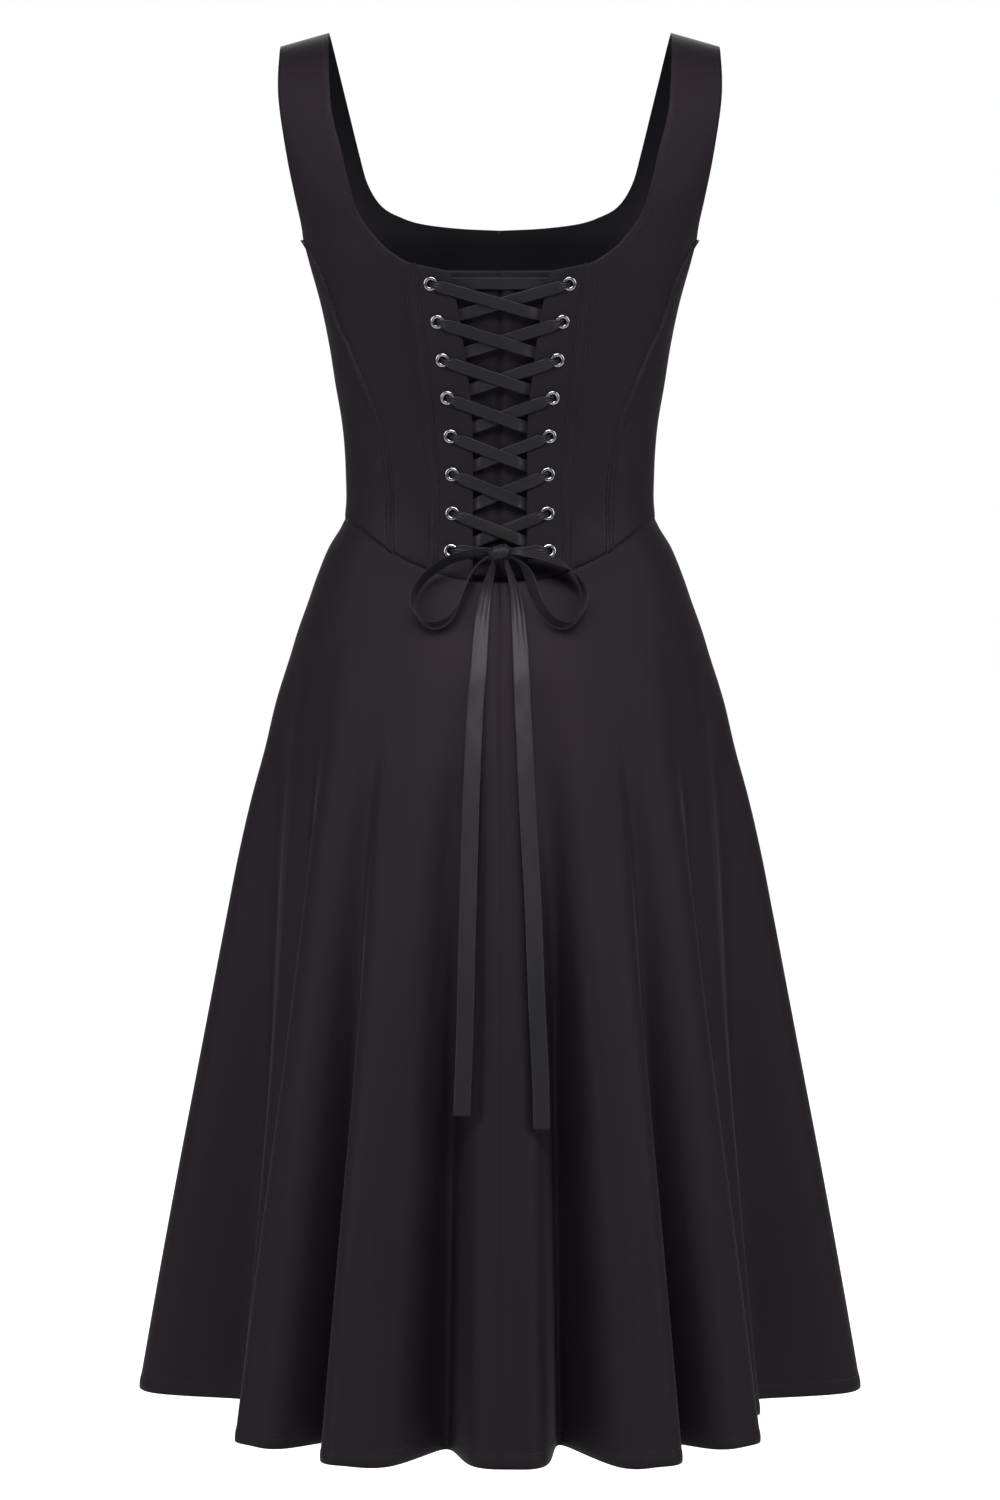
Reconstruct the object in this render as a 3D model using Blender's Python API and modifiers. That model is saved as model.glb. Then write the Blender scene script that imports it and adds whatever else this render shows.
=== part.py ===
"""Sleeveless dress with a boned bodice that laces up the back, and a flared skirt.

Metres, +Z up. The laced back faces -Y and the front faces +Y. The origin is level with the
tops of the straps, in the middle between them, where the wearer's shoulders hold the dress up.
Tables are in millimetres: a "drop" is measured straight down from the shoulder line.
"""

import bpy
import bmesh
import numpy as np
from mathutils import Matrix, Vector

MM = 0.001
CLOTH = 1.5 * MM
CASING = 1.2 * MM
RIBBON = 1.0 * MM
GAP = 0.3 * MM
SEAM_GAP = 0.4 * MM

ARM_DROP = 160 * MM
SHOULDER_SLOPE = 0.28
STRAP_INNER_X = 136 * MM
WAIST_DROP = 386 * MM
WAIST_DIP_BACK = 47 * MM
WAIST_DIP_FRONT = 30 * MM
HEM_DROP = 1091.5 * MM
HEM_RADIUS = 293 * MM
CREST_SHOULDER = 0.972
FOLD_SPREAD = 5

# The filled-out form of the whole dress.
# drop, half width, back depth, front depth, squareness, fold depth
FORM = (
    (0, 215, 98, 112, 2.5, 0),
    (50, 198, 98, 112, 2.5, 0),
    (100, 181, 98, 112, 2.5, 0),
    (130, 171, 98, 112, 2.5, 0),
    (160, 158.5, 98, 113, 2.5, 0),
    (185, 151.5, 98, 118, 2.5, 0),
    (212, 144, 96.5, 120, 2.45, 0),
    (245, 137, 93.5, 115, 2.4, 0),
    (280, 131.5, 89.5, 106, 2.35, 0),
    (310, 126.5, 86, 99, 2.3, 0),
    (350, 123.7, 84, 95, 2.25, 0),
    (378, 123.9, 84.8, 95.5, 2.2, 0),
    (387, 125.2, 85.4, 96.5, 2.2, 0),
    (409, 137.5, 88, 102, 2.15, 0),
    (432, 147, 93, 108, 2.1, 0),
    (452, 154, 102, 116, 2.05, 0),
    (477, 163, 114, 125, 2, 0.03),
    (495, 168.5, 123, 131, 2, 0.05),
    (531, 180, 137, 143, 2, 0.12),
    (572, 190, 152, 156, 2, 0.23),
    (608, 200, 164, 167, 2, 0.35),
    (655, 211, 179, 181, 2, 0.47),
    (703, 220.5, 194, 194, 2, 0.57),
    (776, 234.5, 214, 213, 2, 0.7),
    (836, 246, 229, 228, 2, 0.79),
    (906, 259.5, 247, 246, 2, 0.87),
    (998, 276.5, 269, 268, 2, 0.95),
    (1091.5, 293, 293, 293, 2, 1),
)
HALF_WIDTH, BACK, FRONT, SQUARE, FOLD = range(1, 6)

# The skirt's folds at the hem, anticlockwise from the left side seen from above.
# Degrees from the centre back: where the crest starts and ends; then its reach and the
# radius of the dip that follows it.
FOLDS = (
    (-96, -84, 294, 214),
    (-66, -58, 232, 212),
    (-47.5, -37, 285, 234),
    (-28, -17, 299, 226),
    (-4, 7, 286, 214),
    (18, 28, 303, 240),
    (36.5, 46.5, 285, 212),
    (58, 66, 232, 214),
    (84, 96, 294, 226),
    (110, 120, 270, 222),
    (131, 142, 291, 219),
    (152, 161, 281, 231),
    (172, 184, 294, 222),
    (195, 206, 283, 230),
    (217, 228, 292, 218),
    (239, 249, 269, 223),
)

# Edges and seams of the bodice: drop, distance from the middle.
BACK_NECK = ((0, 136), (41, 134.2), (67, 131.8), (96, 124.7), (122, 118.7), (143, 112.5),
             (157.5, 103.3), (171, 91.2), (180.5, 78.2), (184.5, 71))
BACK_ARMHOLE = ((0, 174.5), (30, 175.5), (55, 174.2), (98, 168.3), (130, 162.5), (150, 158.7),
                (163, 157.2))
BACK_SEAM = ((163, 157.2), (175, 149.5), (196, 139.7), (226, 129.5), (254, 118.2), (279, 107),
             (305, 97.1), (331, 90.8), (354, 87.6), (386, 86.9), (440, 86.9))
INNER_SEAM = ((184.5, 71), (215, 67.5), (246, 63.5), (284, 58.6), (319, 55.6), (361, 52.6),
              (400, 53), (440, 54))
FLAP_EDGE = ((191, 38.8), (212.5, 34.5), (232, 30.8), (258.5, 27.1), (291, 23.1), (320.5, 21.4),
             (361, 21.3), (440, 21.3))
FRONT_NECK = ((0, 136), (25, 130.5), (47, 125.5), (89, 115.7), (115, 108.5), (133, 97),
              (142, 80.6), (147, 63.4), (150.5, 33), (152, 0))
FRONT_ARMHOLE = ((0, 174.5), (30, 173.5), (55, 170), (98, 161), (130, 154.5), (152, 152),
                 (168, 152.3))
FRONT_SEAM = ((168, 152.3), (180, 138), (200, 120), (225, 104), (255, 92), (290, 83),
              (330, 77), (370, 74), (440, 73))
SIDE_DROP = 170 * MM

# Eyelets of one flap, top to bottom: drop, distance from the middle.
EYELETS = ((201, 54.1), (230.5, 48.9), (260.2, 45), (289.6, 41.3), (319.5, 38.8),
           (349.3, 37.6), (379.8, 37.4), (409, 38.5))
HOLE_RADIUS = 3.4 * MM
# Turned section of an eyelet: radius, height above the flap's face.
EYELET_SECTION = ((2.5, 0.9), (3.7, 1.4), (5.2, 0.7), (3, 0.6), (3, -2), (4.6, -2),
                  (4.6, -2.7), (2.5, -2.7))

# The modesty panel: how far it lies behind the form, how far it reaches past the inner seams,
# and the share of its half width where it starts to rise to the seams.
MODESTY_SINK = 5.6 * MM
MODESTY_TOP = 191 * MM
MODESTY_BOTTOM = 428 * MM
MODESTY_INSET = 4 * MM
MODESTY_RISE = 0.86
MODESTY_COLUMNS = (-1, -0.93, -0.86, -0.6, -0.3, 0, 0.3, 0.6, 0.86, 0.93, 1)
MODESTY_ROWS = 9

LACE_WIDTH = 9.2 * MM
# The ribbon beside an eyelet: way from its centre towards the middle, height above the flap's
# face, share of the full width.
LACE_COMING_OUT = ((-0.4, -0.7, 0.37), (-0.1, 1.1, 0.37), (1.2, 2.1, 0.42), (4, 2.4, 0.66),
                   (9.5, 1.4, 1))
LACE_GOING_IN = ((10, -3.4, 1), (4.2, -3.8, 0.68), (1.3, -3.7, 0.42), (-0.2, -2.5, 0.37))
LACE_OVER = 1.2
LACE_UNDER = -0.5
LACE_BEHIND = -3
BAR_SINK = -3.9

KNOT = (0, 411.5, 9)
KNOT_SIZE = (17, 13, 10)
BOW_WIDTH = 13 * MM
# The bow's ribbons, drawn on the back: distance from the middle, drop, height above the cloth,
# share of the full width, turn of the ribbon (0 stands on edge, 90 lies flat).
LOOP_LEFT = (
    (-8.85, 411, 9.3, 0.5, 40), (-14, 411.6, 11.5, 0.62, 38), (-25, 413.5, 13, 0.8, 32),
    (-37.5, 418, 13, 0.92, 26), (-49, 425.5, 11.5, 1, 16), (-58, 434.5, 10, 1, 8),
    (-64.6, 445, 9, 1, 2), (-66.2, 454, 8.5, 1, 0), (-63, 462, 8.3, 1, 0),
    (-56, 467.6, 8.3, 1, 0), (-48, 468.8, 8.3, 1, 2), (-40, 465, 8.3, 1, 6),
    (-34, 457.5, 8.4, 1, 10), (-29.5, 448, 8.6, 1, 14), (-26, 438, 9, 1, 16),
    (-21.5, 427.5, 9, 0.85, 14), (-16.4, 420.4, 8.6, 0.6, 10), (-12, 417, 8.2, 0.42, 8),
    (-8.5, 414.7, 8.4, 0.36, 6),
)
LOOP_RIGHT = (
    (8.85, 411, 9.3, 0.5, 40), (14, 411.6, 11.5, 0.62, 40), (24, 413.4, 13, 0.8, 38),
    (36, 416.2, 13, 0.95, 36), (48, 421.5, 12, 1, 28), (57.5, 430.5, 10.5, 1, 14),
    (63.2, 441, 9.2, 1, 4), (65, 451, 8.6, 1, 0), (62, 460.5, 8.3, 1, 0),
    (55, 467.5, 8.3, 1, 0), (46.5, 469, 8.3, 1, 2), (38, 464, 8.3, 1, 8),
    (31.5, 455.5, 8.4, 1, 14), (26.8, 445, 8.8, 1, 20), (23, 434, 9.2, 1, 24),
    (19, 425, 9.2, 0.85, 22), (15.4, 419.6, 8.6, 0.6, 16), (11.8, 416.6, 8.2, 0.42, 10),
    (8.5, 414.7, 8.4, 0.36, 6),
)
TAIL_LEFT = (
    (-4.4, 417.4, 8.4, 0.4, 20), (-5.6, 423, 7.6, 0.5, 34), (-8, 431, 6.4, 0.6, 48),
    (-10.8, 443, 4.2, 0.72, 64), (-13.2, 458, 3, 0.85, 78), (-15, 478, 2.6, 0.94, 88),
    (-16.8, 503, 2.4, 1, 90), (-18.8, 525, 2.4, 1, 90), (-20.6, 560, 2.4, 1, 90),
    (-22.2, 597, 2.4, 1, 90), (-23.4, 635, 2.4, 1, 90), (-24.4, 672, 2.4, 1, 90),
    (-25.6, 710, 2.4, 1, 90), (-26.4, 746, 2.4, 1, 90), (-27.4, 780, 2.4, 1, 90),
    (-28.6, 810, 2.4, 1, 90), (-29.6, 834, 2.4, 1, 90),
)
TAIL_RIGHT = (
    (4.6, 417.4, 8.4, 0.4, 20), (5.8, 423, 7.6, 0.5, 34), (8.4, 431, 6.4, 0.6, 48),
    (11.6, 443, 4.2, 0.72, 64), (14, 458, 3, 0.85, 78), (15.4, 478, 2.6, 0.94, 88),
    (16.6, 503, 2.4, 1, 90), (17.4, 525, 2.4, 1, 90), (19.2, 560, 2.4, 1, 90),
    (20.8, 597, 2.4, 1, 90), (23, 635, 2.4, 1, 90), (25.2, 672, 2.4, 1, 90),
    (26.8, 710, 2.4, 1, 90), (28.1, 746, 2.4, 1, 90), (29.8, 780, 2.4, 1, 90),
    (31.4, 812, 2.4, 1, 90), (32, 844, 2.4, 1, 90),
)

for old in list(bpy.data.objects):
    bpy.data.objects.remove(old)

dress = bpy.data.collections.new("corset_dress")
cutters = bpy.data.collections.new("cutters")
bpy.context.scene.collection.children.link(dress)
bpy.context.scene.collection.children.link(cutters)


def smooth(rows, column, at):
    """Value of a table's column at a first-column value, on a smooth curve through its rows."""
    table = np.array(rows, float)
    key, value = table[:, 0], table[:, column]
    slope = np.gradient(value, key)
    at = np.clip(at, key[0], key[-1])
    k = np.clip(np.searchsorted(key, at) - 1, 0, len(key) - 2)
    span = key[k + 1] - key[k]
    u = (at - key[k]) / span
    return ((1 + 2 * u) * (1 - u) ** 2 * value[k] + u * (1 - u) ** 2 * span * slope[k]
            + u * u * (3 - 2 * u) * value[k + 1] + u * u * (u - 1) * span * slope[k + 1])


def fold_stops():
    """Angles and radii of the hem ring: each crest's start, middle and end, then its dip."""
    stops = []
    for i, (start, end, reach, dip) in enumerate(FOLDS):
        following = FOLDS[(i + 1) % len(FOLDS)][0] + (360 if i + 1 == len(FOLDS) else 0)
        stops += [(start, reach * CREST_SHOULDER), ((start + end) / 2, reach),
                  (end, reach * CREST_SHOULDER), ((end + following) / 2, dip)]
    return stops


STOPS = fold_stops()


def hem_ratio(angle):
    """Radius of the folded hem at an angle, as a share of the plain hem's radius."""
    first = STOPS[0][0]
    wrapped = first + np.mod(np.asarray(angle, float) - first, 360)
    ring = [(degrees + turn, radius) for turn in (-360, 0, 360) for degrees, radius in STOPS]
    return smooth(ring, 1, wrapped) * MM / HEM_RADIUS


def fold_ratio(angle, fold):
    """The hem's ratio at an angle, spread out round the ring where the folds are shallow."""
    sharp = hem_ratio(angle)
    spread = (hem_ratio(angle - FOLD_SPREAD) + 2 * sharp + hem_ratio(angle + FOLD_SPREAD)) / 4
    return spread + (sharp - spread) * fold


def form_row(drop):
    """Half width, back depth, front depth, squareness and fold depth of the form at a drop."""
    at = np.asarray(drop, float) / MM
    sizes = [smooth(FORM, column, at) * MM for column in (HALF_WIDTH, BACK, FRONT)]
    return sizes + [smooth(FORM, SQUARE, at), smooth(FORM, FOLD, at)]


def angle_at(x, drop):
    """Ring angle in degrees, up to 90, of the point of the form at a distance from the middle."""
    half_width, back, front, square, fold = form_row(drop)
    share = np.clip(np.abs(x) / half_width, 0, 1)
    return np.degrees(np.arcsin(share ** (square / 2))) * np.sign(x)


def form(angle, drop, folds=True):
    """Point of the dress's outer face. Angle 0 is the centre back, 90 the right side."""
    angle, drop = np.broadcast_arrays(np.asarray(angle, float), np.asarray(drop, float))
    half_width, back, front, square, fold = form_row(drop)
    sine, cosine = np.sin(np.radians(angle)), np.cos(np.radians(angle))
    power = 2 / square
    rise = np.clip((ARM_DROP - drop) / ARM_DROP, 0, 1)
    depth = np.where(cosine > 0, back, front) * np.sqrt(1 - rise ** 2)
    pull = 1 - fold * (1 - (fold_ratio(angle, fold) if folds else hem_ratio(0)))
    x = half_width * np.sign(sine) * np.abs(sine) ** power * pull
    y = -depth * np.sign(cosine) * np.abs(cosine) ** power * pull
    slope = SHOULDER_SLOPE * np.clip(np.abs(x) - STRAP_INNER_X, 0, None) * rise
    return np.stack([x, y, -drop - slope], axis=-1)


def outward(angle, drop, folds=True):
    """Unit vector out of the dress at a point of the form."""
    turn, step = 0.2, 0.5 * MM
    across = form(angle + turn, drop, folds) - form(angle - turn, drop, folds)
    down = form(angle, drop + step, folds) - form(angle, drop - step, folds)
    normal = np.cross(down, across)
    return normal / np.linalg.norm(normal, axis=-1, keepdims=True)


def raised(angle, drop, height, folds=True):
    """Point of the form moved out of the dress by a height."""
    height = np.asarray(height, float)
    return form(angle, drop, folds) + outward(angle, drop, folds) * height[..., None]


def waist(angle):
    """Drop of the waist seam, which dips to a soft point at the centre back and front."""
    cosine = np.cos(np.radians(angle))
    dip = np.where(cosine > 0, WAIST_DIP_BACK, WAIST_DIP_FRONT)
    return WAIST_DROP + dip * np.abs(cosine) ** 3


def edge(rows, count, front=False, to_waist=False):
    """Points spaced evenly along an edge given as drops and distances: angles and drops."""
    first, last = rows[0][0], rows[-1][0]
    if to_waist:
        for _ in range(12):
            distance = smooth(rows, 1, last) * MM
            turned = angle_at(distance, last * MM)
            last = float(waist(180 - turned if front else turned)) / MM
    table = np.array(rows, float)
    along = np.linspace(0, 1, len(table))
    fine = np.linspace(0, 1, 1500)
    slopes = np.gradient(table, along, axis=0)
    k = np.clip((fine * (len(table) - 1)).astype(int), 0, len(table) - 2)
    span = along[k + 1] - along[k]
    u = (fine - along[k]) / span
    weights = ((1 + 2 * u) * (1 - u) ** 2, u * (1 - u) ** 2 * span,
               u * u * (3 - 2 * u), u * u * (u - 1) * span)
    curve = (weights[0][:, None] * table[k] + weights[1][:, None] * slopes[k]
             + weights[2][:, None] * table[k + 1] + weights[3][:, None] * slopes[k + 1])
    curve = curve[(curve[:, 0] >= first) & (curve[:, 0] <= last)] * MM
    drops, distances = curve[:, 0], curve[:, 1]
    angles = angle_at(distances, drops)
    if front:
        angles = 180 - angles
    points = form(angles, drops)
    length = np.concatenate([[0], np.cumsum(np.linalg.norm(np.diff(points, axis=0), axis=1))])
    wanted = np.linspace(0, length[-1], count)
    return np.stack([np.interp(wanted, length, angles), np.interp(wanted, length, drops)], axis=1)


def fill(left, right, columns, fit_waist=True):
    """Angles and drops between two edges, with the last row on the waist seam."""
    share = np.linspace(0, 1, columns)
    grid = left[:, None, :] * (1 - share)[None, :, None] + right[:, None, :] * share[None, :, None]
    if fit_waist:
        miss = waist(grid[-1, :, 0]) - grid[-1, :, 1]
        grid[:, :, 1] += miss[None, :] * np.linspace(0, 1, len(grid))[:, None] ** 2
    return grid


def trimmed(grid, left=0.5, right=0.5, top=0.0, bottom=0.5):
    """The grid with its edges drawn in, by shares of the seam gap."""
    grid = grid.copy()
    for column, inner, share in ((0, 1, left), (-1, -2, right)):
        here, there = form(*grid[:, column].T), form(*grid[:, inner].T)
        reach = np.linalg.norm(there - here, axis=1)
        move = (grid[:, inner] - grid[:, column]) * (share * SEAM_GAP / reach)[:, None]
        grid[:, column] += move
    for row, inner, share in ((0, 1, top), (-1, -2, bottom)):
        here, there = form(*grid[row].T), form(*grid[inner].T)
        reach = np.linalg.norm(there - here, axis=1)
        move = (grid[inner] - grid[row]) * (share * SEAM_GAP / reach)[:, None]
        grid[row] += move
    return grid


def finish(name, color, roughness, metallic=0.0):
    """A plain surface finish."""
    material = bpy.data.materials.new(name)
    material.use_nodes = True
    shader = material.node_tree.nodes["Principled BSDF"]
    shader.inputs["Base Color"].default_value = (*color, 1)
    shader.inputs["Roughness"].default_value = roughness
    shader.inputs["Metallic"].default_value = metallic
    return material


SATIN = (0.016, 0.013, 0.017)
RIBBON_BLACK = (0.03, 0.03, 0.034)
SILVER = (0.82, 0.82, 0.84)


def add(name, mesh, material, collection=dress):
    """Put a mesh in the model as a named object."""
    body = bpy.data.objects.new(name, mesh)
    body.data.materials.append(material)
    collection.objects.link(body)
    return body


def cloth(name, points, thickness=CLOTH, turned=False, color=SATIN):
    """A wall of cloth under a grid of points, rows from the top down."""
    rows, columns = points.shape[:2]
    mesh = bpy.data.meshes.new(name)
    faces = []
    for r in range(rows - 1):
        for c in range(columns - 1):
            corner = r * columns + c
            ring = (corner, corner + columns, corner + columns + 1, corner + 1)
            faces.append(ring[::-1] if turned else ring)
    mesh.from_pydata([tuple(p) for p in points.reshape(-1, 3)], [], faces)
    mesh.update()
    mesh.shade_smooth()
    body = add(name, mesh, finish(name, color, 0.45))
    wall = body.modifiers.new("wall", "SOLIDIFY")
    wall.thickness = thickness
    wall.offset = -1
    wall.use_even_offset = True
    return body


def sided(grid, side):
    """The grid on the right (1) or the left (-1) side."""
    if side > 0:
        return grid
    flipped = grid[:, ::-1].copy()
    flipped[..., 0] *= -1
    return flipped


SIDES = (("left", -1), ("right", 1))


def lay(name, grid, side, height=0.0, thickness=CLOTH):
    """A cloth piece on the form at one side."""
    turned = sided(grid, side)
    points = form(turned[..., 0], turned[..., 1])
    if height:
        points = raised(turned[..., 0], turned[..., 1], np.full(turned.shape[:2], height))
    return cloth(name, points, thickness)


# Back panels, each in one with its strap
STRAP_ROWS = 10
PANEL_ROWS = 11
neck = edge(BACK_NECK, STRAP_ROWS + 1)
inner_seam = edge(INNER_SEAM, PANEL_ROWS, to_waist=True)
armhole = edge(BACK_ARMHOLE, STRAP_ROWS)
back_seam = edge(BACK_SEAM, PANEL_ROWS + 1, to_waist=True)
back_inner = np.concatenate([neck, inner_seam[1:]])
back_outer = np.concatenate([armhole, back_seam[1:]])
back_grid = trimmed(fill(back_inner, back_outer, 6), top=0.5)
for side_name, side in SIDES:
    lay("back_panel_" + side_name, back_grid, side)

# Lacing flaps, each with a row of holes
flap_edge = edge(FLAP_EDGE, PANEL_ROWS, to_waist=True)
flap_grid = trimmed(fill(flap_edge, inner_seam, 4), left=0.0)


def placed(x, drop, height=0.0):
    """Matrix at a point of the back, with Z out of the dress and Y up."""
    angle = angle_at(x, drop)
    centre = Vector(raised(angle, drop, height))
    axis = Vector(outward(angle, drop))
    across = Vector((0, 0, 1)).cross(axis).normalized()
    turn = Matrix((across, axis.cross(across), axis)).transposed().to_4x4()
    return Matrix.Translation(centre) @ turn


def hole_cutter(name, side):
    """Pins through the eyelet places of one flap."""
    pins = bmesh.new()
    for drop, distance in EYELETS:
        bmesh.ops.create_cone(pins, cap_ends=True, segments=12, radius1=HOLE_RADIUS,
                              radius2=HOLE_RADIUS, depth=8 * MM,
                              matrix=placed(side * distance * MM, drop * MM))
    mesh = bpy.data.meshes.new(name)
    pins.to_mesh(mesh)
    pins.free()
    cutter = bpy.data.objects.new(name, mesh)
    cutter.hide_render = True
    cutter.display_type = "WIRE"
    cutters.objects.link(cutter)
    return cutter


for side_name, side in SIDES:
    flap = lay("lacing_flap_" + side_name, flap_grid, side)
    holes = flap.modifiers.new("eyelet holes", "BOOLEAN")
    holes.operation = "DIFFERENCE"
    holes.object = hole_cutter("flap_holes_" + side_name, side)

# Side panels


def side_edge(angle, top, count):
    """Points down the side seam."""
    drops = np.linspace(top, float(waist(angle)), count)
    return np.stack([np.full(count, angle), drops], axis=1)


back_side_grid = trimmed(fill(back_seam, side_edge(90.0, SIDE_DROP, PANEL_ROWS + 1), 5))
front_seam = edge(FRONT_SEAM, PANEL_ROWS + 1, front=True, to_waist=True)
front_side_grid = trimmed(fill(side_edge(90.0, SIDE_DROP, PANEL_ROWS + 1), front_seam, 5))
for side_name, side in SIDES:
    lay("side_back_" + side_name, back_side_grid, side)
    lay("side_front_" + side_name, front_side_grid, side)

# Front panel with both front straps
front_neck = edge(FRONT_NECK, STRAP_ROWS + 1, front=True)
front_arm = edge(FRONT_ARMHOLE, STRAP_ROWS, front=True)
centre_front = np.stack([np.full(PANEL_ROWS, 180.0),
                         np.linspace(152 * MM, float(waist(180.0)), PANEL_ROWS)], axis=1)
front_inner = np.concatenate([front_neck, centre_front[1:]])
front_outer = np.concatenate([front_arm, front_seam[1:]])
front_grid = trimmed(fill(front_outer, front_inner, 8), right=0.0, top=0.5)
front_points = form(front_grid[..., 0], front_grid[..., 1])
front_points[STRAP_ROWS:, -1, 0] = 0.0
front = cloth("front_panel", front_points)
front.modifiers.remove(front.modifiers["wall"])
both = front.modifiers.new("other half", "MIRROR")
both.merge_threshold = 0.00005
wall = front.modifiers.new("wall", "SOLIDIFY")
wall.thickness = CLOTH
wall.offset = -1
wall.use_even_offset = True

# Modesty panel behind the lacing, sewn on under the inner seams
modesty = np.zeros((MODESTY_ROWS, len(MODESTY_COLUMNS), 3))
for r, drop in enumerate(np.linspace(MODESTY_TOP, MODESTY_BOTTOM, MODESTY_ROWS)):
    reach = smooth(INNER_SEAM, 1, drop / MM) * MM - MODESTY_INSET
    for c, share in enumerate(MODESTY_COLUMNS):
        settle = np.clip((abs(share) - MODESTY_RISE) / (1 - MODESTY_RISE), 0, 1)
        sink = -MODESTY_SINK + (MODESTY_SINK - CLOTH - GAP - 0.2 * MM) * settle
        modesty[r, c] = raised(angle_at(share * reach, drop), drop, sink)
cloth("modesty_panel", modesty)

# Boning casings on the bodice
CASING_LIFT = CASING + 2 * GAP


def casing_grid(rows, half_top, half_bottom):
    """A strip that follows a seam line."""
    share = np.linspace(0, 1, len(rows))
    half = half_top + (half_bottom - half_top) * share
    here = form(rows[:, 0], rows[:, 1])
    beside = form(rows[:, 0] + 0.5, rows[:, 1])
    turn = 0.5 * half / np.linalg.norm(beside - here, axis=1)
    grid = rows[:, None, :] + np.zeros((1, 3, 1))
    grid[:, :, 0] += turn[:, None] * np.array([-1, 0, 1])[None, :]
    grid[-1, :, 1] = waist(grid[-1, :, 0])
    return grid


for side_name, side in SIDES:
    strip = trimmed(casing_grid(inner_seam, 5 * MM, 3.8 * MM), 0, 0, 3, 2)
    lay("casing_inner_" + side_name, strip, side, CASING_LIFT, CASING)
    strip = trimmed(casing_grid(back_seam, 2.4 * MM, 3.8 * MM), 0, 0, 5, 2)
    lay("casing_seam_" + side_name, strip, side, CASING_LIFT, CASING)

# Skirt
SKIRT_ROWS = 11
SEAM_FLAT = 0.7


def fold_columns(start, end):
    """Ring angles between two seams where the folds turn, with a column in each wall."""
    marks = []
    ring = STOPS + [(STOPS[0][0] + 360, 0)]
    for (here, _), (there, _) in zip(ring, ring[1:]):
        marks.append(here)
        if abs(hem_ratio(here + 0.01) - hem_ratio(there - 0.01)) > 0.06:
            marks.append((here + there) / 2)
    around = sorted(mark + turn for mark in marks for turn in (-360, 0))
    inside = [mark for mark in around if start + 3 < mark < end - 3]
    return np.array([start, start + SEAM_FLAT, *inside, end - SEAM_FLAT, end])


def skirt_grid(start, end):
    """Angles and drops of a skirt piece between two seams."""
    angles = fold_columns(start, end)
    share = np.linspace(0, 1, SKIRT_ROWS) ** 1.25
    top = waist(angles)
    drops = top[None, :] + (HEM_DROP - top)[None, :] * share[:, None]
    grid = np.stack([np.broadcast_to(angles, drops.shape), drops], axis=-1)
    return trimmed(grid, top=0.5, bottom=0)


for skirt_name, start, end in (("skirt_back_left", -90, 0), ("skirt_back_right", 0, 90),
                               ("skirt_front", 90, 270)):
    spread = skirt_grid(start, end)
    cloth(skirt_name, form(spread[..., 0], spread[..., 1]))

# Eyelets
profile = bpy.data.meshes.new("eyelet")
section = [(radius * MM, 0, height * MM) for radius, height in EYELET_SECTION]
profile.from_pydata(section, [(i, (i + 1) % len(section)) for i in range(len(section))], [])
silver = finish("eyelet", SILVER, 0.2, 1.0)
profile.materials.append(silver)
for side_name, side in SIDES:
    for number, (drop, distance) in enumerate(EYELETS, 1):
        eyelet = bpy.data.objects.new(f"eyelet_{side_name}_{number}", profile)
        eyelet.matrix_world = placed(side * distance * MM, drop * MM)
        dress.objects.link(eyelet)
        turning = eyelet.modifiers.new("turning", "SCREW")
        turning.steps = 10
        turning.render_steps = 10
        turning.use_merge_vertices = True
        turning.merge_threshold = 0.00001


def ribbon(name, stations, thickness=RIBBON):
    """A flat band through stations of centre, direction across and width."""
    centres = np.array([station[0] for station in stations])
    across = np.array([station[1] for station in stations])
    widths = np.array([station[2] for station in stations])
    run = np.gradient(centres, axis=0)
    run /= np.linalg.norm(run, axis=1, keepdims=True)
    across = across - run * np.sum(across * run, axis=1, keepdims=True)
    across /= np.linalg.norm(across, axis=1, keepdims=True)
    face = np.cross(run, across)
    half = across * widths[:, None] / 2
    thick = face * thickness / 2
    corners = np.stack([centres - half - thick, centres + half - thick,
                        centres + half + thick, centres - half + thick], axis=1)
    last = (len(stations) - 1) * 4
    faces = [(0, 1, 2, 3), (last + 3, last + 2, last + 1, last)]
    for k in range(len(stations) - 1):
        for c in range(4):
            faces.append((k * 4 + c, k * 4 + 4 + c, k * 4 + 4 + (c + 1) % 4, k * 4 + (c + 1) % 4))
    mesh = bpy.data.meshes.new(name)
    mesh.from_pydata([tuple(p) for p in corners.reshape(-1, 3)], [], faces)
    band = bmesh.new()
    band.from_mesh(mesh)
    bmesh.ops.recalc_face_normals(band, faces=band.faces)
    band.to_mesh(mesh)
    band.free()
    return add(name, mesh, finish(name, RIBBON_BLACK, 0.35))


def up_the_back(angle, drop):
    """Unit vector up along the cloth."""
    step = form(angle, drop - MM, False) - form(angle, drop + MM, False)
    return step / np.linalg.norm(step)


def lace_station(x, drop, height, share):
    """A station of the lacing, with its width up the back."""
    angle = angle_at(x, drop)
    return (raised(angle, drop, height * MM), up_the_back(angle, drop), LACE_WIDTH * share)


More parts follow.
